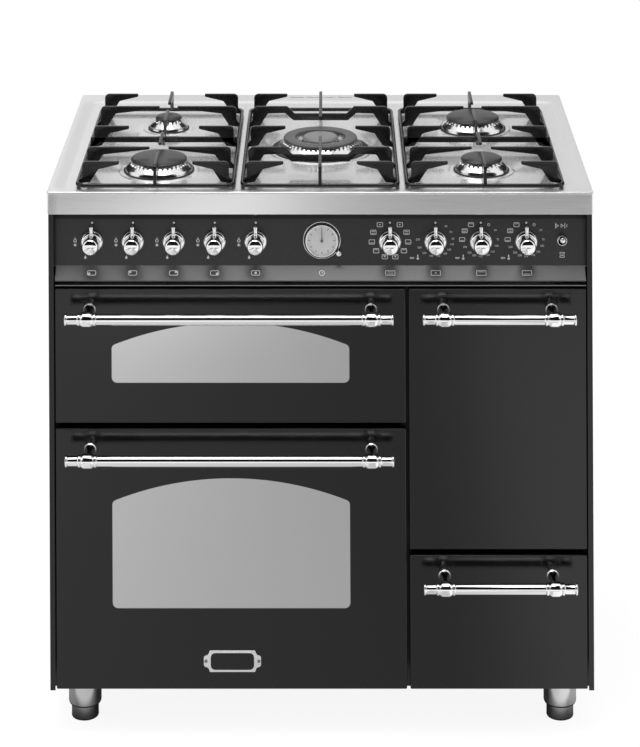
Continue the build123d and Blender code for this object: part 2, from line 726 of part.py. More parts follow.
def handle(x0, x1, z1):
    """A turned bar with two bosses, and two posts from the door to the bosses."""
    half = (x1 - x0) / 2 - BAR_MARGIN
    post = half - BOSS_FROM_END
    b = BOSS_L / 2
    rings = b + 1.5 + RING_L
    right = [
        (BAR_R, post - rings - 1), (RING_R, post - rings), (RING_R, post - b - 1.5), (BAR_R, post - b - 1),
        (BOSS_R - 2, post - b), (BOSS_R, post - b + 4), (BOSS_R, post + b - 4), (BOSS_R - 2, post + b),
        (BAR_R, post + b + 1), (RING_R, post + b + 1.5), (RING_R, post + rings),
        (BAR_END_R, post + rings + 1),
        (BAR_END_R, half - RING_L - 1), (RING_R - 0.4, half - RING_L), (RING_R - 0.4, half - 1),
        (RING_R - 1.4, half),
    ]
    left = [(r, -h) for r, h in reversed(right)]
    mid = (x0 + x1) / 2
    z = z1 - BAR_DROP
    d = FACE_DEPTH - BAR_STANDOFF
    bar = Pos(mid, FRONT_Y + d, z) * Rot(0, 90, 0) * turned([(0, -half)] + left + right + [(0, half)])
    posts = []
    for x in (mid - post, mid + post):
        leg = front_turned(
            ((0, 0), (ROSETTE_R, 0), (ROSETTE_R, 1.5), (POST_R + 1, ROSETTE_T), (POST_R, ROSETTE_T + 3),
             (POST_R, BAR_STANDOFF - 6), (0, BAR_STANDOFF - 6)), x, FACE_DEPTH, z,
        )
        posts.append(leg - bar)
    return bar, *posts


UPPER_DOOR = (DOOR_X0, DOOR_SPLIT, UPPER_Z0, UPPER_Z0 + SHORT_H)
MAIN_DOOR = (DOOR_X0, DOOR_SPLIT, DOOR_Z0, DOOR_Z0 + TALL_H)
SIDE_DOOR = (RIGHT_X0, DOOR_X1, SIDE_Z0, SIDE_Z0 + TALL_H)
DRAWER_FACE = (RIGHT_X0, DOOR_X1, DOOR_Z0, DOOR_Z0 + SHORT_H)
UPPER_WINDOW = (UPPER_Z0 + UPPER_WINDOW_FOOT, UPPER_WINDOW_SIDE)
MAIN_WINDOW = (DOOR_Z0 + MAIN_WINDOW_FOOT, MAIN_WINDOW_SIDE)

for name, box, window in (
    ("upper", UPPER_DOOR, UPPER_WINDOW), ("main", MAIN_DOOR, MAIN_WINDOW), ("side", SIDE_DOOR, None),
):
    save(name + "_door_panel", door_panel(*box, window=window))
    save(name + "_door_liner", door_liner(*box, window=window))
    if window:
        save(name + "_door_glass", door_glass(box[0], box[1], window))
    save(name + "_door_handle", *handle(box[0], box[1], box[3]))
save(
    "hinge_arms", *hinge_arms(*UPPER_DOOR[:3]), *hinge_arms(*MAIN_DOOR[:3]), *hinge_arms(*SIDE_DOOR[:3]),
)

plate_z = DOOR_Z0 + PLATE_UP
plate = slab(
    LEFT_MID - PLATE_W / 2, LEFT_MID + PLATE_W / 2, plate_z - PLATE_H / 2 + 5, plate_z + PLATE_H / 2 - 5,
    FACE_DEPTH - PLATE_T, FACE_DEPTH, 4,
)
plate += slab(
    LEFT_MID - PLATE_W / 2 + 7, LEFT_MID + PLATE_W / 2 - 7, plate_z - PLATE_H / 2, plate_z + PLATE_H / 2,
    FACE_DEPTH - PLATE_T, FACE_DEPTH, 3,
)
for side in (-1, 1):
    plate += rod_y(1.6, LEFT_MID + side * (PLATE_W / 2 - 4), FACE_DEPTH - PLATE_T - 0.7, FACE_DEPTH, plate_z)
save("nameplate", plate)

# Drawer
save("drawer_front", door_panel(*DRAWER_FACE, hinged=False))
save("drawer_handle", *handle(DRAWER_FACE[0], DRAWER_FACE[1], DRAWER_FACE[3]))
bx0, bx1 = RIGHT_MOUTH_X0, RIGHT_MOUTH_X1
bz0 = DRAWER_MOUTH[0] + DRAWER_BOX_UP
t = BODY_SHEET
box = block(bx0, bx1, FACE_DEPTH + DOOR_SHEET, DRAWER_BACK, bz0, bz0 + DRAWER_BOX_H)
box -= block(
    bx0 + t, bx1 - t, FACE_DEPTH + DOOR_SHEET + t, DRAWER_BACK - t, bz0 + t, bz0 + DRAWER_BOX_H + 1,
)
wing_z = RAIL_Z + RAIL_H + 0.3
box += block(bx0 - RAIL_W + 1, bx0 + t, FRAME_DEPTH, DRAWER_BACK, wing_z, wing_z + t)
box += block(bx1 - t, bx1 + RAIL_W - 1, FRAME_DEPTH, DRAWER_BACK, wing_z, wing_z + t)
save("drawer_box", box)


def drawer_rail(x0, x1, web):
    d0, d1 = FRAME_BACK + 10, BACK_DEPTH
    rail = block(x0, x1, d0, d1, RAIL_Z, RAIL_Z + RAIL_H)
    for d in (d0 + 10, d1 - 60):
        rail += block(web, web + 2, d, d + 30, BASE_TOP, RAIL_Z + 1)
    return rail


save(
    "drawer_rails",
    drawer_rail(bx0 - RAIL_W - 0.5, bx0 - 0.5, bx0 - RAIL_W - 0.5),
    drawer_rail(bx1 + 0.5, bx1 + RAIL_W + 0.5, bx1 + RAIL_W - 1.5),
)

# Control panel
lip_back = LIP_DEPTH + PANEL_SHEET
face = block(-INNER_HALF, INNER_HALF, PANEL_DEPTH, PANEL_BACK, PANEL_FOOT, HEIGHT - APRON_H)
lip = profile_x(
    ((PANEL_DEPTH, PANEL_FOOT + 2), (LIP_DEPTH, LIP_FOOT + 1.5), (LIP_DEPTH, LIP_FOOT), (lip_back, LIP_FOOT),
     (PANEL_BACK, PANEL_FOOT), (PANEL_BACK, PANEL_FOOT + 2)), -LIP_W / 2, LIP_W / 2,
)
half = INNER_HALF - PANEL_FLANGE_SHORT
top = block(-half, half, PANEL_DEPTH, PANEL_BACK, HEIGHT - APRON_H - 1, WELL_UNDER)
top += block(-half, half, PANEL_DEPTH, PANEL_DEPTH + PANEL_FLANGE, WELL_UNDER - PANEL_SHEET, WELL_UNDER)
panel = face + lip + top
for x in GAS_KNOB_X + OVEN_KNOB_X:
    panel -= rod_y(STEM_R + 1, x, PANEL_DEPTH - 1, PANEL_BACK + 1, KNOB_Z)
panel -= rod_y(CLOCK_CUP_R, CLOCK_X, PANEL_DEPTH - 1, PANEL_BACK + 1, CLOCK_Z)
panel -= rod_y(1.5 + RUN_FIT, CLOCK_X + SETTER_DX, PANEL_DEPTH - 1, PANEL_BACK + 1, CLOCK_Z + SETTER_DZ)
panel -= rod_y(7.5, TOGGLE_X, PANEL_DEPTH - 1, PANEL_BACK + 1, TOGGLE_Z)
save("control_panel", panel)


# Knobs, their bezels and what they turn
def knob(x):
    profile = (
        (0, -STEM_IN), (STEM_R, -STEM_IN), (STEM_R, 3), (NECK_R, 3), (NECK_R, HEAD_FROM - 4),
        (HEAD_R - 1.5, HEAD_FROM), (HEAD_R, HEAD_FROM + 2.5), (HEAD_R, HEAD_TO - 3),
    )
    dome = []
    for n in range(1, 9):
        a = radians(90 * n / 8)
        dome.append((HEAD_R * cos(a) if n < 8 else 0, HEAD_TO - 3 + HEAD_DOME * sin(a)))
    body = front_turned(profile + tuple(dome), x, PANEL_DEPTH, KNOB_Z)
    pin = turned((
        (0, NECK_R - 3), (POINTER_R0, NECK_R - 3), (POINTER_R1, POINTER_REACH - 1.2),
        (POINTER_R1 - 1.2, POINTER_REACH), (0, POINTER_REACH),
    ))
    return body + Pos(x, FRONT_Y + PANEL_DEPTH - POINTER_OFF + 4, KNOB_Z) * pin


def bezel(x):
    rim = BEZEL_R
    return front_turned((
        (NECK_R + 0.8, 0), (rim, 0), (rim, 1.5), (rim - 1.2, 4), (rim - 4, 6.8), (rim - 6.2, BEZEL_H),
        (rim - 7.6, BEZEL_H - 0.5), (NECK_R + 0.8, 3),
    ), x, PANEL_DEPTH, KNOB_Z)


for n, x in enumerate(GAS_KNOB_X):
    save("gas_knob_" + str(n + 1), knob(x))
for n, x in enumerate(OVEN_KNOB_X):
    save("oven_knob_" + str(n + 1), knob(x))

collar = front_turned(
    ((6.6, 0), (TOGGLE_R, 0), (TOGGLE_R, 2.5), (TOGGLE_R - 1.4, 4.6), (6.9, 4.6)),
    TOGGLE_X, PANEL_DEPTH, TOGGLE_Z,
)
save("control_bezels", *[bezel(x) for x in GAS_KNOB_X + OVEN_KNOB_X], collar)


def stem_bore(x):
    return rod_y(STEM_R + RUN_FIT, x, PANEL_BACK - 1, PANEL_DEPTH + STEM_IN + 2, KNOB_Z)


taps = []
for x in GAS_KNOB_X:
    tap = rod_y(TAP_R, x, PANEL_BACK, RAIL_DEPTH - RAIL_R, KNOB_Z)
    taps.append(tap - stem_bore(x))
save("gas_taps", *taps)
switches = []
for x in OVEN_KNOB_X:
    s = SWITCH_HALF
    switch = block(x - s, x + s, PANEL_BACK, PANEL_BACK + SWITCH_L, KNOB_Z - s, KNOB_Z + s)
    switches.append(switch - stem_bore(x))
pivot_d = PANEL_DEPTH + TOGGLE_PIVOT
rocker = block(TOGGLE_X - 9, TOGGLE_X + 9, PANEL_BACK, PANEL_BACK + ROCKER_L, TOGGLE_Z - 10, TOGGLE_Z + 10)
slot_end = PANEL_BACK + ROCKER_SLOT
rocker -= block(TOGGLE_X - 5, TOGGLE_X + 5, PANEL_BACK - 1, slot_end, TOGGLE_Z - 11, TOGGLE_Z + 11)
rocker -= rod_x(1.5 + RUN_FIT, TOGGLE_X - 10, TOGGLE_X + 10, pivot_d, TOGGLE_Z)
save("oven_switches", *switches, rocker)

ball = []
for n in range(9):
    a = radians(-55 + 145 * n / 8)
    ball.append((TOGGLE_BALL_R * cos(a) if n < 8 else 0, TOGGLE_LEN + TOGGLE_BALL_R * sin(a)))
lever = front_turned([(0, -4), (2.6, -4), (2.6, 12)] + ball, 0, 0, 0)
lever = Pos(0, -FRONT_Y, 0) * lever
lever += Rot(0, 90, 0) * Cylinder(1.5, 17)
save("toggle_lever", Pos(TOGGLE_X, FRONT_Y + pivot_d, TOGGLE_Z) * Rot(TOGGLE_TILT, 0, 0) * lever)

# Clock
case = front_turned((
    (1 + RUN_FIT, -CLOCK_CUP_L), (CLOCK_CUP_R, -CLOCK_CUP_L), (CLOCK_CUP_R, 0), (CLOCK_FLANGE_R, 0),
    (CLOCK_FLANGE_R, 1.2), (CLOCK_BEZEL_R, 1.6), (CLOCK_BEZEL_R, CLOCK_H - 1.2),
    (CLOCK_BEZEL_R - 1.2, CLOCK_H), (CLOCK_DIAL_R + 0.6, CLOCK_H), (CLOCK_DIAL_R, CLOCK_H - 0.8),
    (CLOCK_DIAL_R, DIAL_H), (1 + RUN_FIT, DIAL_H),
), CLOCK_X, PANEL_DEPTH, CLOCK_Z)
save("clock_case", case)
glass_r = CLOCK_DIAL_R - RUN_FIT
glass = front_turned(
    ((0, CLOCK_H - 1.6), (glass_r, CLOCK_H - 1.6), (glass_r, CLOCK_H - 0.8), (0, CLOCK_H - 0.4)),
    CLOCK_X, PANEL_DEPTH, CLOCK_Z,
)
save("clock_glass", glass)


def clock_hand(length, width, h, bore):
    """A tapering hand with its hub, upright, at a height above the panel."""
    wire = Polyline((-width, -4, 0), (width, -4, 0), (0.3, length, 0), (-0.3, length, 0), close=True)
    hand = extrude(make_face(wire), HAND_T) + Pos(0, 0, HAND_T / 2) * Cylinder(2.2, HAND_T)
    if bore:
        hand -= Pos(0, 0, HAND_T / 2) * Cylinder(bore, 2)
    else:
        hand += Pos(0, 0, -3.5 + HAND_T) * Cylinder(1.0, 7)
    return Pos(CLOCK_X, FRONT_Y + PANEL_DEPTH - h, CLOCK_Z) * Rot(90, 0, 0) * hand


save("hour_hand", clock_hand(HOUR_LEN, 0.9, DIAL_H + 0.35, 1.0 + RUN_FIT))
save("minute_hand", clock_hand(MINUTE_LEN, 0.7, DIAL_H + 1.2, 0))
setter = front_turned((
    (0, -10), (1.5, -10), (1.5, 3), (3.4, 3), (SETTER_R, 5), (SETTER_R, SETTER_H - 1.5),
    (SETTER_R - 1.5, SETTER_H), (0, SETTER_H),
), CLOCK_X + SETTER_DX, PANEL_DEPTH, CLOCK_Z + SETTER_DZ)
save("clock_setter", setter)

# Gas rail with the rear inlet
rail_x0 = GAS_KNOB_X[0] - 25
rail = rod_x(RAIL_R, rail_x0, INLET_X, RAIL_DEPTH, KNOB_Z)
rail += Pos(INLET_X, FRONT_Y + RAIL_DEPTH, KNOB_Z) * Sphere(RAIL_R)
rail += rod_y(RAIL_R, INLET_X, RAIL_DEPTH, BACK_DEPTH, KNOB_Z)
nut_d = BACK_DEPTH + BODY_SHEET
nut = extrude(front_plane(INLET_X, nut_d + 8, KNOB_Z) * RegularPolygon(INLET_NUT_R, 6), 8)
rail += nut
rail += rod_y(INLET_R, INLET_X, BACK_DEPTH - 20, INLET_TO, KNOB_Z)
rail -= rod_y(7, INLET_X, INLET_TO - 60, INLET_TO + 1, KNOB_Z)
save("gas_rail", rail)

# Burners
cups = []
pipes = []
CUP_FOOT = WELL_UNDER - CUP_H
for n, (x, d, cap_r, base_r, ports) in enumerate(BURNERS + ((*WOK, WOK_RING_R, WOK_BASE_R, 0),)):
    cup_r = THROAT_SHARE * cap_r + 2 * CUP_WALL
    cup = rod_z(cup_r, x, d, CUP_FOOT, WELL_UNDER)
    cups.append(cup - rod_z(cup_r - CUP_WALL, x, d, CUP_FOOT + CUP_WALL, WELL_UNDER + 1))
    tap_x = GAS_KNOB_X[n]
    tap_d = PANEL_BACK + PIPE_BEHIND
    level = PIPE_LEVEL + n * PIPE_STEP
    start = (tap_x, tap_d, KNOB_Z + TAP_R - 0.4)
    tube = pipe((start, (tap_x, tap_d, level), (x, d, level), (x, d, CUP_FOOT)), PIPE_R, PIPE_BEND)
    pipes.append(tube - taps[n])
save("burner_cups_and_pipes", *cups, *pipes)


def port_cuts(r, count, z):
    cuts = []
    for n in range(count):
        cuts.append(Rot(0, 0, n * 360 / count) * Pos(r, 0, z - PORT_H / 2) * Box(10, PORT_W, PORT_H))
    return cuts


def crown(cap_r, base_r, ports):
    """A flared burner crown with flame ports cut below its top."""
    top_r = cap_r - 1.2
    body = turned((
        (CROWN_BORE_SHARE * cap_r, DISH_Z), (base_r - 1.5, DISH_Z), (base_r, DISH_Z + 1.5),
        (base_r - 1.2, DISH_Z + 3.5),
        (top_r + 3.2, DISH_Z + 8), (top_r + 0.6, DISH_Z + 12), (top_r, CROWN_TOP),
        (CROWN_BORE_SHARE * cap_r, CROWN_TOP),
    ))
    return body.cut(*port_cuts(top_r, ports, CROWN_TOP))


def cap(r):
    """A domed burner cap with a rounded rim."""
    points = [(0, CROWN_TOP), (r - 0.8, CROWN_TOP), (r, CROWN_TOP + 0.8), (r, CROWN_TOP + CAP_T - 1.4)]
    points += [(r - 1.2, CROWN_TOP + CAP_T)]
    for n in range(1, 7):
        f = n / 6
        points.append(((r - 1.2) * (1 - f), CROWN_TOP + CAP_T + CAP_DOME * (1 - (1 - f) ** 2)))
    return turned(points)


crowns = []
caps = []
for x, d, cap_r, base_r, ports in BURNERS:
    place = Pos(x, FRONT_Y + d, 0)
    crowns.append(place * crown(cap_r, base_r, ports))
    caps.append(place * cap(cap_r))
place = Pos(WOK[0], FRONT_Y + WOK[1], 0)
wok = turned((
    (20, DISH_Z), (WOK_BASE_R - 1.5, DISH_Z), (WOK_BASE_R, DISH_Z + 1.5), (WOK_BASE_R - 1.2, DISH_Z + 3.5),
    (WOK_RING_R + 2.2, DISH_Z + 8), (WOK_RING_R - 0.6, DISH_Z + 12), (WOK_RING_R - 1.2, CROWN_TOP),
    (WOK_HOLE_R + 1.2, CROWN_TOP), (WOK_HOLE_R + 1.2, DISH_Z + 6), (WOK_INNER_R - 1.2, DISH_Z + 6),
    (WOK_INNER_R - 1.2, CROWN_TOP), (20, CROWN_TOP),
))
wok = wok.cut(*port_cuts(WOK_RING_R - 1.2, 48, CROWN_TOP), *port_cuts(WOK_INNER_R - 1.2, 20, CROWN_TOP))
crowns.append(place * wok)
ring_mid = (WOK_RING_R + WOK_HOLE_R) / 2
caps.append(place * turned((
    (WOK_HOLE_R + 0.8, CROWN_TOP), (WOK_RING_R - 0.8, CROWN_TOP), (WOK_RING_R, CROWN_TOP + 0.8),
    (WOK_RING_R, CROWN_TOP + 2.4), (WOK_RING_R - 1.4, CROWN_TOP + CAP_T), (ring_mid, CROWN_TOP + CAP_T + 0.8),
    (WOK_HOLE_R + 1.4, CROWN_TOP + CAP_T), (WOK_HOLE_R, CROWN_TOP + 2.4), (WOK_HOLE_R, CROWN_TOP + 0.8),
)))
caps.append(place * cap(WOK_INNER_R))
save("burner_crowns", *crowns)
save("burner_caps", *caps)

# Pan supports
ROD_Z = WELL_Z + SUPPORT_LIFT + SUPPORT_ROD
HALF_W = SUPPORT_W / 2
HALF_D = SUPPORT_D / 2
BLADE_HALF = HALF_W - BLADE_INSET
TOE = BLADE_INSET - SUPPORT_ROD
TOP = SUPPORT_TOP
ROW_MID = MID_BURNER


def support_frame():
    """A rod bent into a loop, on four short feet."""
    w, h = SUPPORT_W - 2 * SUPPORT_ROD, SUPPORT_D - 2 * SUPPORT_ROD
    path = RectangleRounded(w, h, SUPPORT_R).wire()
    path = Pos(0, FRONT_Y + ROW_MID, ROD_Z) * path
    loop = sweep((path ^ 0) * Circle(SUPPORT_ROD), path=path)
    feet = []
    for x in (-w / 2, w / 2):
        for d in (-h / 2 + SUPPORT_FOOT_IN, h / 2 - SUPPORT_FOOT_IN):
            feet.append(rod_z(SUPPORT_FOOT_R, x, ROW_MID + d, WELL_Z, ROD_Z))
    return [loop] + feet


def finger(length, sag, toe=0.0):
    """A finger's outline from its outer edge inwards: distance and height. Its toe reaches out to the rod."""
    foot = ((-toe, ROD_Z), (-toe, ROD_Z + 2), (0, ROD_Z + 9)) if toe else ((0, ROD_Z),)
    return foot + (
        (0, TOP - 6), (2, TOP - 2), (6, TOP), (length, TOP), (length, TOP - sag), (27, TOP - 13), (13, ROD_Z),
    )


def side_fingers(row, length, sag):
    points = finger(length, sag, TOE)
    left = plate_xz([(-BLADE_HALF + u, z) for u, z in points], ROW_MID + row, BLADE_T)
    right = plate_xz([(BLADE_HALF - u, z) for u, z in points], ROW_MID + row, BLADE_T)
    return [left, right]


def end_blades(length):
    points = finger(length, 5)
    front = plate_yz([(ROW_MID - HALF_D + u, z) for u, z in points], 0, BLADE_T)
    rear = plate_yz([(ROW_MID + HALF_D - u, z) for u, z in points], 0, BLADE_T)
    return [front, rear]


def outer_support():
    pieces = side_fingers(-ROW_OUTER, SHORT_FINGER, 5) + side_fingers(ROW_OUTER, SHORT_FINGER, 5)
    pieces += side_fingers(0, SHORT_FINGER, 5)
    pieces += side_fingers(-ROW_INNER, LONG_FINGER, 4) + side_fingers(ROW_INNER, LONG_FINGER, 4)
    pieces += end_blades(HALF_D - ROW_INNER - 26)
    end, high = HALF_W - 4, TOP - 19
    low = high - CROSS_BAR_H
    pieces.append(plate_xz(
        [
            (-end, ROD_Z), (-end, high), (end, high), (end, ROD_Z), (end - 8, ROD_Z), (end - 16, low),
            (-end + 16, low), (-end + 8, ROD_Z),
        ],
        ROW_MID, BLADE_T,
    ))
    reach = ROW_INNER - 22.5
    near = (
        (0, TOP - 30), (0, TOP - 19), (36, TOP), (reach, TOP), (reach, TOP - 4), (44, TOP - 12),
        (16, TOP - 30),
    )
    for side in (-1, 1):
        pieces.append(plate_yz([(ROW_MID + side * u, z) for u, z in near], 0, BLADE_T))
    return pieces


def dipped_bar(row):
    """A bar across the support that dips in its middle."""
    w, a, b, low = BLADE_HALF, DIP_HALF + DIP_SLOPE, DIP_HALF, TOP - DIP
    points = [
        (-w - TOE, ROD_Z), (-w - TOE, ROD_Z + 2), (-w, ROD_Z + 9), (-w, TOP - 6), (-w + 6, TOP), (-a, TOP),
        (-b, low), (b, low), (a, TOP), (w - 6, TOP), (w, TOP - 6), (w, ROD_Z + 9), (w + TOE, ROD_Z + 2),
        (w + TOE, ROD_Z), (w - 13, ROD_Z), (w - 27, TOP - 13),
        (a + 4, TOP - 12), (b + 2, low - 12), (-b - 2, low - 12), (-a - 4, TOP - 12),
        (-w + 27, TOP - 13), (-w + 13, ROD_Z),
    ]
    return plate_xz(points, ROW_MID + row, BLADE_T)


def centre_support():
    pieces = side_fingers(-ROW_OUTER, SHORT_FINGER, 5) + side_fingers(ROW_OUTER, SHORT_FINGER, 5)
    pieces += side_fingers(0, SHORT_FINGER, 5)
    pieces += [dipped_bar(-ROW_INNER), dipped_bar(ROW_INNER)]
    pieces += end_blades(HALF_D - 60)
    return pieces


def welded(pieces):
    parts = support_frame() + pieces
    return parts[0].fuse(*parts[1:])


outer_grate = welded(outer_support())
save("pan_support_left", Pos(-BURNER_X, 0, 0) * outer_grate)
save("pan_support_right", Pos(BURNER_X, 0, 0) * outer_grate)
save("pan_support_centre", welded(centre_support()))

# Legs
sleeves = []
feet = []
for x in (-LEG_X, LEG_X):
    for d in (LEG_FRONT, LEG_REAR):
        sleeve = rod_z(SLEEVE_R, x, d, SLEEVE_FOOT, BODY_BOTTOM)
        sleeve -= rod_z(SLEEVE_R - 2.5, x, d, SLEEVE_FOOT - 1, BODY_BOTTOM - 8)
        sleeve -= rod_z(FOOT_STEM_R + RUN_FIT, x, d, BODY_BOTTOM - 10, BODY_BOTTOM + 1)
        sleeves.append(sleeve)
        profile = (
            (0, 0), (FOOT_R - 2, 0), (FOOT_R, 2), (FOOT_R, SLEEVE_FOOT), (FOOT_STEM_R, SLEEVE_FOOT),
            (FOOT_STEM_R, BODY_BOTTOM), (0, BODY_BOTTOM),
        )
        feet.append(Pos(x, FRONT_Y + d, 0) * turned(profile))
save("leg_sleeves", *sleeves)
save("levelling_feet", *feet)
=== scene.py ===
# %% [markdown]
# A wide gas cooker: a pressed steel hob with five burners, a row of chrome knobs, three ovens and a drawer.
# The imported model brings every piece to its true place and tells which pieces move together.
# We dress that model here: turned chrome, pressed steel and printed signs are made anew, and every other
# piece keeps its shape and gets a finish of its own.

# %% Load the cooker
import json
from math import pi, radians
import bmesh
import bpy
import numpy as np
from mathutils import Matrix, Vector


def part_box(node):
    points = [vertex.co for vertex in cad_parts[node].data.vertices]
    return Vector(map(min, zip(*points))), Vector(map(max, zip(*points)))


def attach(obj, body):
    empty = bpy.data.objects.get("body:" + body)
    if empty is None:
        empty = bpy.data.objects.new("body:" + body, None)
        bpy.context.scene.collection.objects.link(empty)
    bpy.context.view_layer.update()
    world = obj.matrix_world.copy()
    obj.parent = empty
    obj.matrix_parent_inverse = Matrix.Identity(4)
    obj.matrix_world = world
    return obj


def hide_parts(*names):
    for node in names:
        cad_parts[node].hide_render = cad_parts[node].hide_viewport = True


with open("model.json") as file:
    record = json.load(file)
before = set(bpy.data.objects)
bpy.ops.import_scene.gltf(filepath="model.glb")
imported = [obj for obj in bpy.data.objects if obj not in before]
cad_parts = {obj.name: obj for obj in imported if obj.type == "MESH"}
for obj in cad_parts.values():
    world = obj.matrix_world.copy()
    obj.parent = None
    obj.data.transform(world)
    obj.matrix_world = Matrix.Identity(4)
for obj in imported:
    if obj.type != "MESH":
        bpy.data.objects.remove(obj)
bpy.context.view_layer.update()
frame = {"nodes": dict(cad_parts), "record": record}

MM = 0.001
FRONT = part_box("worktop")[0][1] / MM

# %% [markdown]
# The photographer stood about four metres away and above the hob, yet every upright of the cooker stays
# upright in the picture. That is what a view camera does: its film stands upright while the lens looks down.
# A large lens shift would show the same thing but would spoil every other view. So the camera is held by an
# empty whose frame leans along the line of sight, and the camera's own lens stays centred.

# %% Place the camera
CAMERA_AT = Vector((0.01857, -4.31029, 2.13896))
UPRIGHT = Vector((0.004621, 0.000883, 0.999989))
SIGHT = Vector((-0.004943, 0.999664, -0.380828))
FOCAL_PIXELS = 2453.8
LONG_SIDE = 747.0

scene = bpy.context.scene
film = bpy.data.cameras.new("film")
film.sensor_width = 36.0
film.lens = film.sensor_width * FOCAL_PIXELS * SIGHT.length / LONG_SIDE
film.clip_end = 60.0
camera = bpy.data.objects.new("camera", film)
holder = bpy.data.objects.new("camera_holder", None)
lean = Matrix.Identity(4)
lean.col[0] = (1, 0, 0, 0)
lean.col[1] = (*UPRIGHT, 0)
lean.col[2] = (*-SIGHT.normalized(), 0)
lean.col[3] = (*CAMERA_AT, 1)
for thing in (holder, camera):
    scene.collection.objects.link(thing)
camera.parent = holder
camera.matrix_parent_inverse = lean
scene.camera = camera
scene.view_settings.view_transform = "Standard"
print("lens", round(film.lens, 1), "mm")

# %% [markdown]
# Shader nodes can be wired one by one, but sums are easier to read as sums. This small class wraps one
# socket of a finish: arithmetic on it adds Math nodes, and node() adds any other node with its settings
# first and its sockets after them.


# %% A lead from a socket
class Lead:
    """One socket of a finish; plus, minus, times and divide on it become Math nodes."""

    def __init__(self, tree, socket=None):
        self.tree = tree
        self.socket = socket

    def node(self, kind, settings=None, sockets=None, out=0):
        """A new node of a kind; a socket's value is a number, a colour or another lead."""
        made = self.tree.nodes.new(kind)
        for name, value in (settings or {}).items():
            setattr(made, name, value)
        for key, value in (sockets or {}).items():
            if isinstance(value, Lead):
                self.tree.links.new(value.socket, made.inputs[key])
            else:
                made.inputs[key].default_value = value
        return Lead(self.tree, made.outputs[out]) if len(made.outputs) else made

    def sum(self, operation, a, b=0.0):
        """A Math node on numbers or leads."""
        return self.node("ShaderNodeMath", {"operation": operation}, {0: a, 1: b})

    def ramp(self, value, low, high, to_low=0.0, to_high=1.0, soft=False):
        """A value carried from the span low..high to the span to_low..to_high, in a line or a soft S."""
        settings = {"interpolation_type": "SMOOTHSTEP"} if soft else {}
        span = {"Value": value, "From Min": low, "From Max": high, "To Min": to_low, "To Max": to_high}
        return self.node("ShaderNodeMapRange", settings, span)

    def blend(self, share, first, second):
        """One colour where the share is 0, the other where it is 1."""
        return self.node("ShaderNodeMix", {"data_type": "RGBA"}, {0: share, 6: first, 7: second}, out=2)

    def cover(self, surface):
        """The surface goes to the material's output."""
        self.node("ShaderNodeOutputMaterial", {}, {"Surface": surface})

    def __add__(self, other):
        return self.sum("ADD", self, other)

    def __radd__(self, other):
        return self.sum("ADD", other, self)

    def __sub__(self, other):
        return self.sum("SUBTRACT", self, other)

    def __rsub__(self, other):
        return self.sum("SUBTRACT", other, self)

    def __mul__(self, other):
        return self.sum("MULTIPLY", self, other)

    def __rmul__(self, other):
        return self.sum("MULTIPLY", other, self)

    def __truediv__(self, other):
        return self.sum("DIVIDE", self, other)

    def split(self, *keys):
        """Several outputs of the node behind this lead, by name."""
        return [Lead(self.tree, self.socket.node.outputs[key]) for key in keys]


def start_finish(name):
    """A bare material: its tree as a lead, and its place on the object in metres."""
    made = bpy.data.materials.new(name)
    made.use_nodes = True
    made.node_tree.nodes.clear()
    lead = Lead(made.node_tree)
    return made, lead, lead.node("ShaderNodeTexCoord", out=3)


def grey(value):
    """A colour with the same red, green and blue."""
    return (value, value, value, 1.0)


# %% [markdown]
# Polished metal is only as good as what it mirrors. Reflector boards would stand in a real studio, and here
# five walls do their work, seen by gloss alone. The dark one behind the camera draws the black bands on bars
# and knobs, the two greys at the back calm the worktop, and the two dark ends give the burners their edges.


# %% Studio sheets
def stage_sheet(name, corners, look):
    """A flat sheet between four corners, marked as part of the studio."""
    mesh = bpy.data.meshes.new(name)
    mesh.from_pydata(corners, [], [(0, 1, 2, 3)])
    mesh.materials.append(look)
    sheet = bpy.data.objects.new(name, mesh)
    scene.collection.objects.link(sheet)
    return sheet


def gloss_wall(name, y, left, right, low, high, shade):
    """An upright wall across the studio that only mirrors can see."""
    made, lead, _ = start_finish(name + "_cloth")
    cloth = lead.node("ShaderNodeEmission", {}, {"Color": grey(1.0), "Strength": shade})
    lead.cover(cloth)
    wall = stage_sheet(name, [(left, y, low), (right, y, low), (right, y, high), (left, y, high)], made)
    wall.visible_camera = False
    wall.visible_diffuse = False
    wall.visible_transmission = False
    wall.visible_shadow = False
    print(name, right - left, "m wide")


BACK_WALL = 4.5
gloss_wall("dark_wall", -5, -10, 10, 1.6, 24, 0.008)
gloss_wall("grey_wall", BACK_WALL, -0.75, 2.4, 0, 3.6, 0.70)
gloss_wall("pale_wall", BACK_WALL, -2.4, -0.75, 0, 3.6, 0.86)
gloss_wall("dark_left", BACK_WALL, -14, -2.4, 0, 10, 0.02)
gloss_wall("dark_right", BACK_WALL, 2.4, 14, 0, 10, 0.02)
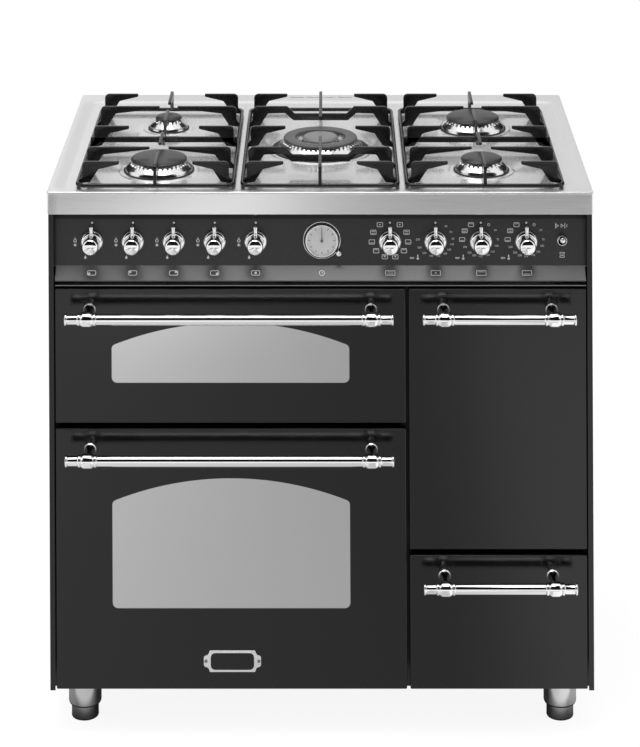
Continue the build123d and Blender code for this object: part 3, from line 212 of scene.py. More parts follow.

# %% [markdown]
# The floor shows white to the camera but still takes the cooker's shadow. What metal mirrors of it is a glow
# with painted light and shade, graded like a lit studio: a painted bright patch in front on the left, a
# weaker one on the right, painted shade beside the cooker and painted shadow under it. Light Path tells the
# three uses apart, so one sheet serves for all.

# %% Graded floor
floor_finish, lead, place = start_finish("studio_floor")
to_camera, to_gloss = lead.node("ShaderNodeLightPath").split("Is Camera Ray", "Is Glossy Ray")
x, y = lead.node("ShaderNodeSeparateXYZ", {}, {"Vector": place}).split("X", "Y")
# Painted light in the glow that metal mirrors: pools of light in front on the left, on the right and far to
# the sides.
nearer = lead.sum("MAXIMUM", y + 3.1, -0.5)
off = (x + 0.32 + 0.24 * nearer) / (0.16 + 0.23 * nearer)
painted_left_pool = lead.sum("MAXIMUM", 1.3 - 0.76 * nearer, 0.42) / (1 + off * off)
sideways = lead.sum("ABSOLUTE", x)
painted_right_pool = lead.ramp(x, 0.2, 0.52, to_high=0.6, soft=True)
right_near = lead.ramp(y, -2.9, -2.2, soft=True)
painted_far_light = lead.ramp(sideways, 1.3, 2.1, to_high=0.55, soft=True)
level = lead.sum("MINIMUM", 0.3 + 0.11 * nearer, 0.42) + painted_left_pool + painted_right_pool * right_near + painted_far_light
# Painted shadow under the cooker and painted shade beside it: the glow is darkened near the cooker's
# footprint.
beside = lead.sum("MAXIMUM", sideways - 0.45, lead.sum("ABSOLUTE", y - 0.03) - 0.28)
shade = lead.ramp(beside, -0.06, 0.04, to_low=0.1, soft=True)
past_front = lead.ramp(y, -0.28, -0.235, soft=True)
near_side = lead.ramp(sideways, 1.2, 0.9, soft=True)
painted_flank_shade = 1 - 0.55 * past_front * near_side
bright = lead.sum("MINIMUM", level * shade * painted_flank_shade, 1.0)
mirrored = lead.node("ShaderNodeEmission", {}, {"Strength": bright})
paper = lead.node("ShaderNodeBsdfDiffuse", {}, {"Color": grey(0.80)})
thin_paper = lead.node("ShaderNodeBsdfDiffuse", {}, {"Color": grey(0.22)})
glow = lead.node("ShaderNodeEmission", {}, {"Color": grey(1.0), "Strength": 0.90})
seen = lead.node("ShaderNodeAddShader", {}, {0: thin_paper, 1: glow})
unseen = lead.node("ShaderNodeMixShader", {}, {0: to_gloss, 1: paper, 2: mirrored})
both = lead.node("ShaderNodeMixShader", {}, {0: to_camera, 1: unseen, 2: seen})
lead.cover(both)
floor = stage_sheet("floor", [(-9, -5, 0), (9, -5, 0), (9, 12, 0), (-9, 12, 0)], floor_finish)
print("floor", tuple(round(side) for side in floor.dimensions[:2]), "m")

# %% [markdown]
# The sky is plain white to the eye and to metal, and about half as strong as a light, so that colours come
# out as they are written. One soft lamp high above the hob adds the broad highlights and the faint shadow.

# %% Sky and lamp
sky = bpy.data.worlds.new("white_sky")
sky.use_nodes = True
sky.node_tree.nodes.clear()
lead = Lead(sky.node_tree)
rays = lead.node("ShaderNodeLightPath").split("Is Camera Ray", "Is Glossy Ray", "Is Transmission Ray")
shown = lead.sum("MINIMUM", rays[0] + rays[1] + rays[2], 1.0)
glare = lead.node("ShaderNodeBackground", {}, {"Color": grey(1.0), "Strength": 0.52 + 0.48 * shown})
lead.node("ShaderNodeOutputWorld", {}, {"Surface": glare})
scene.world = sky

lamp = bpy.data.lights.new("hob_lamp", "AREA")
lamp.shape = "RECTANGLE"
lamp.size, lamp.size_y = 2.2, 1.2
lamp.energy = 32
lamp_object = bpy.data.objects.new("hob_lamp", lamp)
lamp_object.location = (-0.3, -0.68, 3.1)
lamp_object.rotation_mode = "QUATERNION"
lamp_object.rotation_quaternion = Vector((0.2, 0.4, -2.2)).to_track_quat("-Z", "Y")
scene.collection.objects.link(lamp_object)
print("lamp of", lamp.energy, "W")

# %% [markdown]
# Most pieces of a cooker are enamelled, polished or brushed, and one recipe gives all three. It starts from
# the plain shader: base colour, roughness, and metal or not. A little noise makes colour and roughness
# wander, as they do on any real sheet, and noise that is stretched one way looks like brush marks.

# %% One recipe for a finish
BUMP_DEPTH = 0.0004


def finish(name, shade, rough, metal=0.0, mottle=0.08, scale=60.0, grain=(1, 1, 1), bump=0.0, alpha=1.0):
    """A surface whose colour and roughness wander with noise; grain stretches the noise into brush marks."""
    made, lead, place = start_finish(name)
    along = lead.node("ShaderNodeMapping", {}, {"Vector": place, "Scale": grain})
    noise = lead.node("ShaderNodeTexNoise", {}, {"Vector": along, "Scale": scale, "Detail": 5.0})
    dark = tuple(max(0.0, c * (1 - mottle)) for c in shade[:3]) + (1.0,)
    pale = tuple(min(1.0, c * (1 + mottle)) for c in shade[:3]) + (1.0,)
    sockets = {
        "Base Color": lead.blend(noise, dark, pale), "Roughness": rough * (0.7 + 0.6 * noise),
        "Metallic": metal, "Alpha": alpha,
    }
    if bump:
        sockets["Normal"] = lead.node(
            "ShaderNodeBump", {}, {"Height": noise, "Strength": bump, "Distance": BUMP_DEPTH},
        )
    lead.cover(lead.node("ShaderNodeBsdfPrincipled", {}, sockets))
    return made


# %% [markdown]
# Two surfaces need more than the recipe. The worktop is brushed on its apron and polished with satin specks
# elsewhere. The control panel changes from dark enamel to satin metal along its lip. Both are one sheet, so
# the height of each point decides, and Object coordinates give it in metres.

# %% Worktop and panel finishes
BRUSHED = (2, 140, 140)


def pressed_steel(name):
    """Polished with satin specks where the sheet lies flat, brushed along the apron below the well."""
    made, lead, place = start_finish(name)
    z = lead.node("ShaderNodeSeparateXYZ", {}, {"Vector": place}, out=2)
    apron = lead.ramp(z, 0.8968, 0.8950)
    along = lead.node("ShaderNodeMapping", {}, {"Vector": place, "Scale": BRUSHED})
    noise = lead.node("ShaderNodeTexNoise", {}, {"Vector": along, "Scale": 9.0, "Detail": 5.0})
    colour = lead.blend(noise, grey(0.83), grey(0.89))
    speck = lead.node("ShaderNodeTexNoise", {}, {"Vector": place, "Scale": 2600.0, "Detail": 0.0})
    satin = lead.ramp(speck, 0.46, 0.52)
    rough = 0.08 + 0.06 * noise + apron * (0.03 + 0.04 * noise) + 0.36 * satin * (1 - apron)
    sockets = {"Base Color": colour, "Roughness": rough, "Metallic": 1.0}
    lead.cover(lead.node("ShaderNodeBsdfPrincipled", {}, sockets))
    return made


def panel_enamel(name):
    """Dark enamel with painted shade along the top edge under the worktop, and a satin metal look on the lip
    below.
    """
    made, lead, place = start_finish(name)
    z = lead.node("ShaderNodeSeparateXYZ", {}, {"Vector": place}, out=2)
    noise = lead.node("ShaderNodeTexNoise", {}, {"Vector": place, "Scale": 900.0, "Detail": 4.0})
    lip = lead.ramp(z, 0.7706, 0.7698)
    # roll marks a band of painted shade along the panel's top edge, darker and rougher, for the shade under
    # the worktop's overhang.
    roll = lead.ramp(z, 0.845, 0.849)
    speck = lead.blend(noise, grey(0.022), grey(0.028))
    speck_and_painted_shade = lead.blend(roll, speck, grey(0.003))
    colour = lead.blend(lip, speck_and_painted_shade, grey(0.13))
    bump = lead.node("ShaderNodeBump", {}, {"Height": noise, "Strength": 0.05, "Distance": BUMP_DEPTH})
    rough = 0.24 + 0.08 * noise + 0.35 * roll + 0.08 * lip
    sockets = {"Base Color": colour, "Roughness": rough, "Metallic": lip, "Normal": bump}
    lead.cover(lead.node("ShaderNodeBsdfPrincipled", {}, sockets))
    return made


# %% [markdown]
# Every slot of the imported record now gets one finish, and a few more are for pieces made below, such as the
# clock's dial. The cooker is black and silver, so one number, a grey, is enough for almost all of them.

# %% All finishes
finishes = {"worktop_steel": pressed_steel("worktop_steel"), "panel_paint": panel_enamel("panel_paint")}


def add_finish(name, shade, rough, **detail):
    """One more finish by name; a single number as shade is a grey."""
    colour = shade if isinstance(shade, tuple) else grey(shade)
    finishes[name] = finish(name, colour, rough, **detail)


add_finish("cabinet_paint", 0.005, 0.30, scale=900, bump=0.06)
add_finish("plain_steel", 0.55, 0.42, metal=1.0, mottle=0.18, scale=70)
add_finish("frame_paint", 0.004, 0.35, scale=700, bump=0.05)
# bright_trim is a dull grey so that the deflector's top reads dark: painted shade.
add_finish("bright_trim", 0.25, 0.3, metal=1.0, scale=9, grain=BRUSHED)
add_finish("oven_enamel", 0.03, 0.22, mottle=0.9, scale=420, bump=0.05)
add_finish("shelf_chrome", 0.72, 0.16, metal=1.0, scale=160)
add_finish("seal_rubber", 0.03, 0.75, mottle=0.5, scale=900, bump=0.4)
add_finish("element_steel", (0.16, 0.14, 0.13, 1), 0.45, metal=0.8, mottle=0.4, scale=90)
add_finish("motor_paint", 0.22, 0.5, mottle=0.1, scale=300)
add_finish("cast_aluminium", 0.82, 0.17, metal=1.0, mottle=0.06, scale=500, bump=0.05)
add_finish("cap_enamel", 0.03, 0.38, scale=600, bump=0.06)
add_finish("tap_brass", (0.62, 0.45, 0.16, 1), 0.3, metal=1.0, scale=200)
add_finish("switch_plastic", 0.05, 0.5, scale=400)
add_finish("chrome", 0.93, 0.05, metal=1.0, mottle=0.02, scale=120)
add_finish("clock_metal", 0.88, 0.14, metal=1.0, scale=150)
add_finish("leg_steel", 0.66, 0.10, metal=1.0, scale=9, grain=(140, 140, 3))
add_finish("door_paint", 0.004, 0.15, scale=900, bump=0.03)
add_finish("door_glass", 0.62, 0.12, metal=1.0, mottle=0.02, scale=6)
add_finish("door_liner_steel", 0.5, 0.35, metal=1.0, mottle=0.1, scale=60)
add_finish("plate_metal", 0.92, 0.3, metal=1.0, scale=9, grain=BRUSHED)
add_finish("support_enamel", 0.003, 0.27, scale=500, bump=0.015)
add_finish("hand_paint", 0.02, 0.4, scale=300)
add_finish("clock_glass", 0.9, 0.05, scale=30, alpha=0.1)
add_finish("dial_paint", 0.96, 0.4, mottle=0.03, scale=300)
add_finish("sign_paint", 0.92, 0.5, mottle=0.06, scale=900)
add_finish("plate_enamel", 0.003, 0.22, scale=300)
# Paler copies of cap_enamel for the middle burner's caps: painted light.
add_finish("wok_cap_painted_light", 0.09, 0.42, scale=600, bump=0.06)
add_finish("inner_cap_painted_light", 0.22, 0.42, scale=600, bump=0.06)
add_finish("foot_steel", 0.30, 0.28, metal=1.0, mottle=0.3, scale=9, grain=(3, 3, 240))
add_finish("screw_steel", 0.30, 0.4, metal=1.0, scale=300)
print(len(finishes), "finishes")

# %% [markdown]
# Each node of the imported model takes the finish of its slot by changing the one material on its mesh. The
# base pan alone departs from that: its skirt shows through the gaps beside the doors, so it is painted black.

# %% Give each node the finish of its slot
slot_of = {row["node"]: row["material_slot"] for row in frame["record"]["subparts"]}
for name, thing in frame["nodes"].items():
    thing.data.materials.clear()
    thing.data.materials.append(finishes[slot_of[name]])
frame["nodes"]["base_pan"].data.materials[0] = finishes["frame_paint"]
print(len(slot_of), "nodes have a finish")

# %% [markdown]
# Knobs, handles, bezels and burners are all turned on a lathe. A lathe shape is a grid: one way along the
# profile, the other way round the axis. Real edges are never razor sharp, so soften() first rounds each
# corner of the profile with a short curve; those small rounds are what catches the light on chrome.


# %% Lathe tools
def soften(points, reach, steps=3, closed=False):
    """Each corner becomes a quadratic curve from a point on one leg, by the corner, to one on the next."""
    corner = np.asarray(points, float)
    back = np.roll(corner, 1, axis=0) - corner
    ahead = np.roll(corner, -1, axis=0) - corner
    long_back = np.linalg.norm(back, axis=1, keepdims=True)
    long_ahead = np.linalg.norm(ahead, axis=1, keepdims=True)
    start = corner + back / long_back * np.minimum(reach, 0.45 * long_back)
    end = corner + ahead / long_ahead * np.minimum(reach, 0.45 * long_ahead)
    t = np.linspace(0, 1, steps + 1)[None, :, None]
    curve = (1 - t) ** 2 * start[:, None] + 2 * t * (1 - t) * corner[:, None] + t ** 2 * end[:, None]
    if closed:
        return curve.reshape(-1, 2)
    return np.vstack([corner[:1], curve[1:-1].reshape(-1, 2), corner[-1:]])


def grid_faces(rows, cols, closed_rows=False):
    """Quads of a grid of points stored row by row, where each row closes on itself."""
    i = np.arange(rows if closed_rows else rows - 1)[:, None]
    j = np.arange(cols)[None, :]
    i2, j2 = (i + 1) % rows, (j + 1) % cols
    corners = np.broadcast_arrays(i * cols + j, i * cols + j2, i2 * cols + j2, i2 * cols + j)
    return np.stack(corners, axis=-1).reshape(-1, 4)


def turned(profile, sides=48, closed=False):
    """A lathe surface: the profile point (r, h) at angle a lies at (r cos a, r sin a, h)."""
    r, h = np.asarray(profile, float).T[:, :, None]
    a = np.linspace(0, 2 * pi, sides, endpoint=False)[None, :]
    points = np.stack(np.broadcast_arrays(r * np.cos(a), r * np.sin(a), h + 0 * a), axis=-1)
    return points.reshape(-1, 3), [grid_faces(len(r), sides, closed)]


def ring(profile, reach, sides=64):
    """A lathe surface whose softened profile closes on itself."""
    return turned(soften(profile, reach, closed=True), sides, closed=True)


# %% [markdown]
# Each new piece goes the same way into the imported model. It is turned upright about Z, set in its place in
# millimetres, and joined to one mesh that keeps its object at the origin. Then it rides on its body, takes a
# slot, and may stand for a node, which is hidden. Merging doubles closes the poles of lathe shapes.


# %% Placing and adding pieces
def stand(part, x, depth, z):
    """Set a shape upright: its axis stays along Z."""
    points, faces = part
    return points + (x, FRONT + depth, z), faces


def face_front(part, x, depth, z):
    """Turn a shape's axis towards the front: its height runs out of the panel."""
    points, faces = part
    return points[:, [0, 2, 1]] * (1, -1, 1) + (x, FRONT + depth, z), faces


def add_piece(name, parts, body, slot, stands_for=(), look=None, sharp=38.0):
    """Join parts in millimetres into one smooth piece, close its poles, and hand it to its body."""
    starts = np.cumsum([0] + [len(points) for points, faces in parts])
    points = np.vstack([points for points, faces in parts]) * MM
    faces = [
        row for (p, sets), start in zip(parts, starts) for one in sets for row in (one + start).tolist()
    ]
    mesh = bpy.data.meshes.new(name)
    mesh.from_pydata(points.tolist(), [], faces)
    work = bmesh.new()
    work.from_mesh(mesh)
    bmesh.ops.remove_doubles(work, verts=work.verts, dist=1e-6)
    work.to_mesh(mesh)
    work.free()
    mesh.shade_smooth()
    mesh.set_sharp_from_angle(angle=radians(sharp))
    mesh.materials.append(finishes[look or slot])
    piece = bpy.data.objects.new(name, mesh)
    scene.collection.objects.link(piece)
    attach(piece, body)
    if stands_for:
        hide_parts(*stands_for)
    print(name, len(mesh.polygons), "faces")
    return piece


# %% [markdown]
# Each knob is a chrome stem with a domed head, and a tapered pin stands up from it as the pointer. The
# profile is the one the part was built with, so the knob keeps its size and only gains rounded edges.

# %% Knobs
GAS_X = (-378.3, -310.5, -242.7, -174.9, -107.1)
OVEN_X = (115.4, 190.7, 266.0, 341.3)
PANEL_DEPTH = 28.0
KNOB_Z = 810.0

dome_angle = np.linspace(0, pi / 2, 10)
dome = np.stack([13.4 * np.cos(dome_angle), 31 + 7 * np.sin(dome_angle)], axis=1)
dome[-1, 0] = 0
shank = soften([(0, -17), (4, -17), (4, 3), (7.5, 3), (7.5, 16), (11.9, 20), (13.4, 22.5), (13.4, 31)], 1.2)
knob_shape = turned(np.vstack([shank[:-1], dome]))
pin_shape = turned(soften([(0, 4.5), (2.6, 4.5), (3.7, 27.8), (2.5, 29), (0, 29)], 0.8), sides=24)
knobs = [("gas_knob_%d" % (n + 1), x) for n, x in enumerate(GAS_X)]
knobs += [("oven_knob_%d" % (n + 1), x) for n, x in enumerate(OVEN_X)]
for name, x in knobs:
    parts = [face_front(knob_shape, x, PANEL_DEPTH, KNOB_Z), stand(pin_shape, x, 15, KNOB_Z)]
    add_piece("turned_" + name, parts, name, "chrome", [name])

# %% [markdown]
# Round each knob lies a bezel: a ring with a closed profile, like a small trumpet mouth. Its outside is a
# quarter of an ellipse, and a few points lead down inside it. The toggle has a plainer collar.

# %% Bezels
crest = np.linspace(0, pi / 2, 9)
bezel_out = np.stack([12.8 + 6.7 * np.cos(crest), 0.6 + 7 * np.sin(crest)], axis=1)
bezel_in = [(12.1, 7.4), (11.2, 6.5), (9.6, 4.4), (8.3, 3)]
bezel_shape = turned(np.vstack([[(8.3, 0), (19.5, 0)], bezel_out, bezel_in]), closed=True)
collar_shape = ring([(6.6, 0), (9.2, 0), (9.2, 2.5), (7.8, 4.6), (6.9, 4.6)], 0.5, 48)
TOGGLE_X, TOGGLE_Z = 400.5, 812.0
rings = [face_front(bezel_shape, x, PANEL_DEPTH, KNOB_Z) for x in GAS_X + OVEN_X]
rings.append(face_front(collar_shape, TOGGLE_X, PANEL_DEPTH, TOGGLE_Z))
add_piece("turned_bezels", rings, "cabinet", "chrome", ["control_bezels"])

# %% [markdown]
# The toggle's lever ends in a ball. It is turned as well, then tipped up about its cross pin, so its points
# go through a small rotation in numpy before they are placed.


# %% Toggle lever
def lie_across(part, x, depth, z):
    """Turn a shape's axis along the cooker's width."""
    points, faces = part
    return points[:, [2, 0, 1]] + (x, FRONT + depth, z), faces


round_ball = np.linspace(radians(-55), pi / 2, 12)
ball = np.stack([5.5 * np.cos(round_ball), 20 + 5.5 * np.sin(round_ball)], axis=1)
ball[-1, 0] = 0
lever = turned(np.vstack([[(0, -4), (2.6, -4), (2.6, 12)], ball]), sides=32)
cross_pin = turned([(0, -8.5), (1.5, -8.5), (1.5, 8.5), (0, 8.5)], sides=16)
tip = radians(-12)
points, faces = face_front(lever, 0, -FRONT, 0)
tilt = np.array([[1, 0, 0], [0, np.cos(tip), -np.sin(tip)], [0, np.sin(tip), np.cos(tip)]])
lever_at = (points @ tilt.T + (TOGGLE_X, FRONT + 34, TOGGLE_Z), faces)
toggle_parts = [lever_at, lie_across(cross_pin, TOGGLE_X, 34, TOGGLE_Z)]
add_piece("turned_toggle", toggle_parts, "toggle_lever", "chrome", ["toggle_lever"])

# %% [markdown]
# The clock is a small drum with a bright bezel. Its dial is a pale disc of its own with painted hour marks,
# so it can have a matt finish under the bright rim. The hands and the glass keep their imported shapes.

# %% Clock case and dial
CLOCK_X, CLOCK_Z = 2.5, 812.0
case_profile = [
    (1.06, -22), (23, -22), (23, 0), (31, 0), (31, 1.2), (27.2, 1.6), (27.2, 6.2), (26.6, 6.6), (25, 6.6),
    (24.5, 6.2), (24.5, 2.4), (1.06, 2.4),
]
clock_at = (CLOCK_X, PANEL_DEPTH, CLOCK_Z)
case = face_front(ring(case_profile, 0.5, 72), *clock_at)
add_piece("turned_clock_case", [case], "cabinet", "clock_metal", ["clock_case"])
dial = turned([(1.1, 2.4), (24.45, 2.4), (24.45, 2.5), (1.1, 2.5)], 72, closed=True)
add_piece("clock_dial", [face_front(dial, *clock_at)], "cabinet", "clock_metal", look="dial_paint")
# A thin black ring on the bezel's slope is painted shade for a groove.
groove_shade = ring([(27.1, 1.2), (30, 1.0), (30, 1.6), (27.1, 1.9)], 0.15, 72)
add_piece("clock_groove_shade", [face_front(groove_shade, *clock_at)], "cabinet", "hand_paint")

# %% [markdown]
# The hour marks are flat paint: one bar, turned twelve times by a rotation in numpy and laid a hair above
# the dial. A flat face has only one outward side, so each outline is first brought to walk anticlockwise.
# The small setting knob at the clock's side is turned like the others.


# %% Hour marks and setting knob
def anticlockwise(outline):
    """An outline as an array, turned round if twice its area, the sum of cross products, is negative."""
    p = np.asarray(outline, float)
    area = np.sum(p[:, 0] * np.roll(p[:, 1], -1) - p[:, 1] * np.roll(p[:, 0], -1))
    return p if area > 0 else p[::-1]


def blot(outline, u=0.0, v=0.0):
    """A filled sign: one face inside the outline, moved by (u, v)."""
    flat = anticlockwise(outline)
    return flat + (u, v), [np.arange(len(flat))[None, :]]


def on_panel(signs, x, z, proud=0.08):
    """Flat signs just proud of the panel's face: u to the right, v up."""
    depth = FRONT + PANEL_DEPTH - proud
    return [
        (np.column_stack([x + p[:, 0], np.full(len(p), depth), z + p[:, 1]]), faces) for p, faces in signs
    ]


hour = np.arange(12) * pi / 6
bar = np.array([(-0.45, 18.5), (0.45, 18.5), (0.45, 22.5), (-0.45, 22.5)])
marks = [blot(bar @ np.array([[np.cos(a), -np.sin(a)], [np.sin(a), np.cos(a)]])) for a in hour]
add_piece("clock_hour_marks", on_panel(marks, CLOCK_X, CLOCK_Z, 2.55), "cabinet", "hand_paint")
setter_profile = [(0, -10), (1.5, -10), (1.5, 3), (3.4, 3), (4.5, 5), (4.5, 11.5), (3, 13), (0, 13)]
setter = face_front(turned(soften(setter_profile, 0.6), 32), 30.5, PANEL_DEPTH, 792.5)
add_piece("turned_setter", [setter], "clock_setter", "chrome", ["clock_setter"])

# %% [markdown]
# A handle is one turned bar with rings and a boss near each end, and two posts that carry the bosses. The bar
# is a long lathe shape lying along the width; half of its profile is written and mirrored.


# %% Handles
def door_handle(name, body, mid, half, z):
    """The right half of the bar's profile, its mirror image, and two posts from the door to the bosses."""
    post = half - 36
    right = np.array([
        (8.75, post - 15.5), (10.4, post - 14.5), (10.4, post - 11.5), (8.75, post - 11), (10.2, post - 10),
        (12.2, post - 6), (12.2, post + 6), (10.2, post + 10), (8.75, post + 11), (10.4, post + 11.5),
        (10.4, post + 14.5), (8.2, post + 15.5), (8.2, half - 4), (10, half - 3), (10, half - 1), (9, half),
        (0, half),
    ])
    profile = soften(np.vstack([right[::-1] * (1, -1), right]), 0.9)
    bar = lie_across(turned(profile), mid, -38, z)
    bell = [(0, 0), (10.5, 0), (10.5, 1.2), (8.8, 3.4), (7.4, 7.5), (6.5, 13), (6, 20), (6, 42), (0, 42)]
    leg = turned(soften(bell, 0.8), 32)
    posts = [face_front(leg, mid + side * post, 10, z) for side in (-1, 1)]
    add_piece("turned_" + name, [bar] + posts, body, "chrome", [name])


door_handle("upper_door_handle", "upper_door", -149, 268, 703.5)
door_handle("main_door_handle", "main_door", -149, 268, 473)
door_handle("side_door_handle", "side_door", 291.75, 125.25, 703.5)
door_handle("drawer_handle", "drawer", 291.75, 125.25, 264.5)

# %% [markdown]
# A burner crown is a flared casting whose upper rim is cut by a row of flame ports. On the lathe grid a port
# is simply a place where the radius steps inwards near the rim, so crown and ports are one function of angle
# and height. The wide middle burner has a second, inner crown.

# %% Burner crowns
PORT_LOW, PORT_TOP, PORT_DEEP, PORT_STEPS = 912.0, 915.4, 5.0, 6


def crown(profile, ports):
    """Lathe grid with the radius pulled in inside each port, on the outer rows of the rim."""
    sides = ports * PORT_STEPS
    flat = np.asarray(profile, float)
    points, faces = turned(flat, sides, closed=True)
    rows = points.reshape(len(flat), sides, 3)
    outer = flat[:, 0] > flat[:, 0].max() * 0.62
    rim = outer & (flat[:, 1] > PORT_LOW) & (flat[:, 1] < PORT_TOP)
    gap = (np.arange(sides) % PORT_STEPS) < 2
    shrink = np.where(rim[:, None] & gap[None, :], PORT_DEEP, 0.0)
    reach = np.linalg.norm(rows[:, :, :2], axis=2)
    rows[:, :, :2] *= ((reach - shrink) / np.maximum(reach, 1e-6))[:, :, None]
    return rows.reshape(-1, 3), faces


def crown_profile(cap_r, base_r):
    """Foot, straight cone with a port row on its upper half, and the level top under the cap."""
    top = cap_r - 1.2
    cone = np.linspace((base_r - 1, 904.4), (top + 0.4, 914.2), 7)
    throat = 0.4 * cap_r
    foot = [
        (throat, 898.5), (base_r - 1.5, 898.5), (base_r - 0.4, 899.1), (base_r, 900), (base_r - 0.6, 901.4),
    ]
    return np.vstack([foot, cone, [(top + 0.2, 915.2), (top, 915.5), (throat, 915.5)]])


# Each row: x, depth, radius of the cap, radius of the foot, number of ports
BURNERS = (
    (-273.5, 129, 47.5, 57.5, 36), (-273.5, 382, 23.5, 34.5, 20),
    (273.5, 382, 47.5, 57, 36), (273.5, 129, 35, 45, 28),
)
WOK, WOK_R = (0, 254.5), 64.5
wok_cone = crown_profile(WOK_R, 74)[:-1]
inner_cone = np.linspace((40, 904.5), (30.4, 914.2), 6)
wok_groove, wok_throat = [(44.2, 915.5), (44.2, 904.5)], [(30.2, 915.5), (25.8, 915.5)]
wok_profile = np.vstack([wok_cone, wok_groove, inner_cone, wok_throat])
crowns = [
    stand(crown(crown_profile(cap_r, base_r), ports), x, d, 0) for x, d, cap_r, base_r, ports in BURNERS
]
crowns.append(stand(crown(wok_profile, 48), *WOK, 0))
add_piece("cast_crowns", crowns, "cabinet", "cast_aluminium", ["burner_crowns"])

# %% [markdown]
# The caps are enamelled discs with a rounded edge under a shallow dome. The middle burner has a ring cap
# round a small one, and both are the same black enamel made paler with painted light.


# %% Burner caps
def cap_shape(r):
    """A disc with a rounded edge under a shallow dome."""
    a = np.linspace(0, pi / 2, 10)
    top = np.stack([(r - 1.6) * np.cos(a), 919.5 + 4 * np.sin(a)], axis=1)
    top[-1, 0] = 0
    edge = soften([(0, 915.5), (r - 0.8, 915.5), (r, 916.3), (r, 918.1), (r - 1.4, 919.4)], 0.6)
    return turned(np.vstack([edge, top]), 72)


caps = [stand(cap_shape(cap_r), x, d, 0) for x, d, cap_r, base_r, ports in BURNERS]
ring_profile = [
    (43.8, 915.5), (63.7, 915.5), (64.5, 916.3), (64.5, 917.9), (63.1, 919.5), (53.75, 920.3), (44.4, 919.5),
    (43, 917.9), (43, 916.3),
]
add_piece("enamel_caps", caps, "cabinet", "cap_enamel", ["burner_caps"])
wok_ring = stand(ring(ring_profile, 0.7, 96), *WOK, 0)
add_piece("wok_ring_cap", [wok_ring], "cabinet", "cap_enamel", ["burner_caps"], "wok_cap_painted_light")
wok_inner = stand(cap_shape(31), *WOK, 0)
add_piece("wok_inner_cap", [wok_inner], "cabinet", "cap_enamel", ["burner_caps"], "inner_cap_painted_light")

# %% [markdown]
# Where a crown sits on the worktop a dark gap shows. A flat black ring of painted shade under each foot
# stands for it.


# %% Painted shade rings under the crowns
def shade_ring(r):
    """A flat black ring under a crown's foot: painted shade for the gap."""
    return ring([(r - 3, 898.5), (r + 2.4, 898.5), (r + 2.4, 900), (r - 3, 900.3)], 0.3, 72)


shade_rings = [stand(shade_ring(base_r), x, d, 0) for x, d, cap_r, base_r, ports in BURNERS]
wok_shade_ring = ring([(70, 898.5), (85, 898.5), (85, 899.6), (76, 901), (70, 901)], 0.5, 96)
add_piece("crown_shade_rings", shade_rings + [stand(wok_shade_ring, *WOK, 0)], "cabinet", "seal_rubber")

# %% [markdown]
# The worktop is one steel sheet, pressed into a shallow well with a low round rise under each burner. Cutting
# round holes out of one big grid would leave ragged edges, so the well is laid out as rays: each burner has
# its own cell, and rows run from the burner's throat to the cell's border. First come those borders, walked
# anticlockwise. Neighbouring cells share their border points, so that the sheet has no cracks.


# %% Worktop outline
def run(a, b, count):
    """Evenly spaced points from a towards b, without b."""
    return np.linspace(a, b, count, endpoint=False)


WELL_X, WELL_FRONT, WELL_BACK, WELL_R = 422.0, 27.0, 542.0, 12.0
ARC_X, ARC_FRONT, ARC_BACK = WELL_X - WELL_R, WELL_FRONT + WELL_R, WELL_BACK - WELL_R
SPLIT_X, SPLIT_D = 137.0, 255.5


def corner_run(x, d, quarter, count=5):
    """Points of a corner arc of the well about (x, d), starting at a quarter turn."""
    a = (quarter + run(0, 1, count)) * pi / 2
    return np.stack([x + WELL_R * np.cos(a), d + WELL_R * np.sin(a)], axis=1)


slot_ends = [58.4, 58, 32, 31.6, 27.4, 27]
rear_stops = [SPLIT_X] + slot_ends + [-end for end in slot_ends[::-1]] + [-SPLIT_X]
rear_steps = [6, 1, 2, 1, 1, 1, 4, 1, 1, 1, 2, 1, 6]
rear_mid = np.vstack([
    run((a, WELL_BACK), (b, WELL_BACK), n) for a, b, n in zip(rear_stops[:-1], rear_stops[1:], rear_steps)
])
left_front, left_split, left_back = [(-SPLIT_X, d) for d in (WELL_FRONT, SPLIT_D, WELL_BACK)]
right_front, right_split, right_back = [(SPLIT_X, d) for d in (WELL_FRONT, SPLIT_D, WELL_BACK)]
end_left, end_right = (-WELL_X, SPLIT_D), (WELL_X, SPLIT_D)
front_left = run((-ARC_X, WELL_FRONT), left_front, 24)
front_mid = run(left_front, right_front, 22)
front_right = run(right_front, (ARC_X, WELL_FRONT), 24)
rear_right, rear_left = run((ARC_X, WELL_BACK), right_back, 24), run(left_back, (-ARC_X, WELL_BACK), 24)
right_near, right_far = run((WELL_X, ARC_FRONT), end_right, 20), run(end_right, (WELL_X, ARC_BACK), 24)
left_far, left_near = run((-WELL_X, ARC_BACK), end_left, 24), run(end_left, (-WELL_X, ARC_FRONT), 20)
arc_centres = [(ARC_X, ARC_FRONT), (ARC_X, ARC_BACK), (-ARC_X, ARC_BACK), (-ARC_X, ARC_FRONT)]
arcs = [corner_run(*at, quarter) for at, quarter in zip(arc_centres, (3, 0, 1, 2))]
up_l_near, up_l_far = run(left_front, left_split, 20), run(left_split, left_back, 24)
up_r_near, up_r_far = run(right_front, right_split, 20), run(right_split, right_back, 24)
over_l, over_r = run(end_left, left_split, 24), run(right_split, end_right, 24)


def back(points, end):
    """The same border walked the other way, from its far end."""
    return np.vstack([[end], points[:0:-1]])


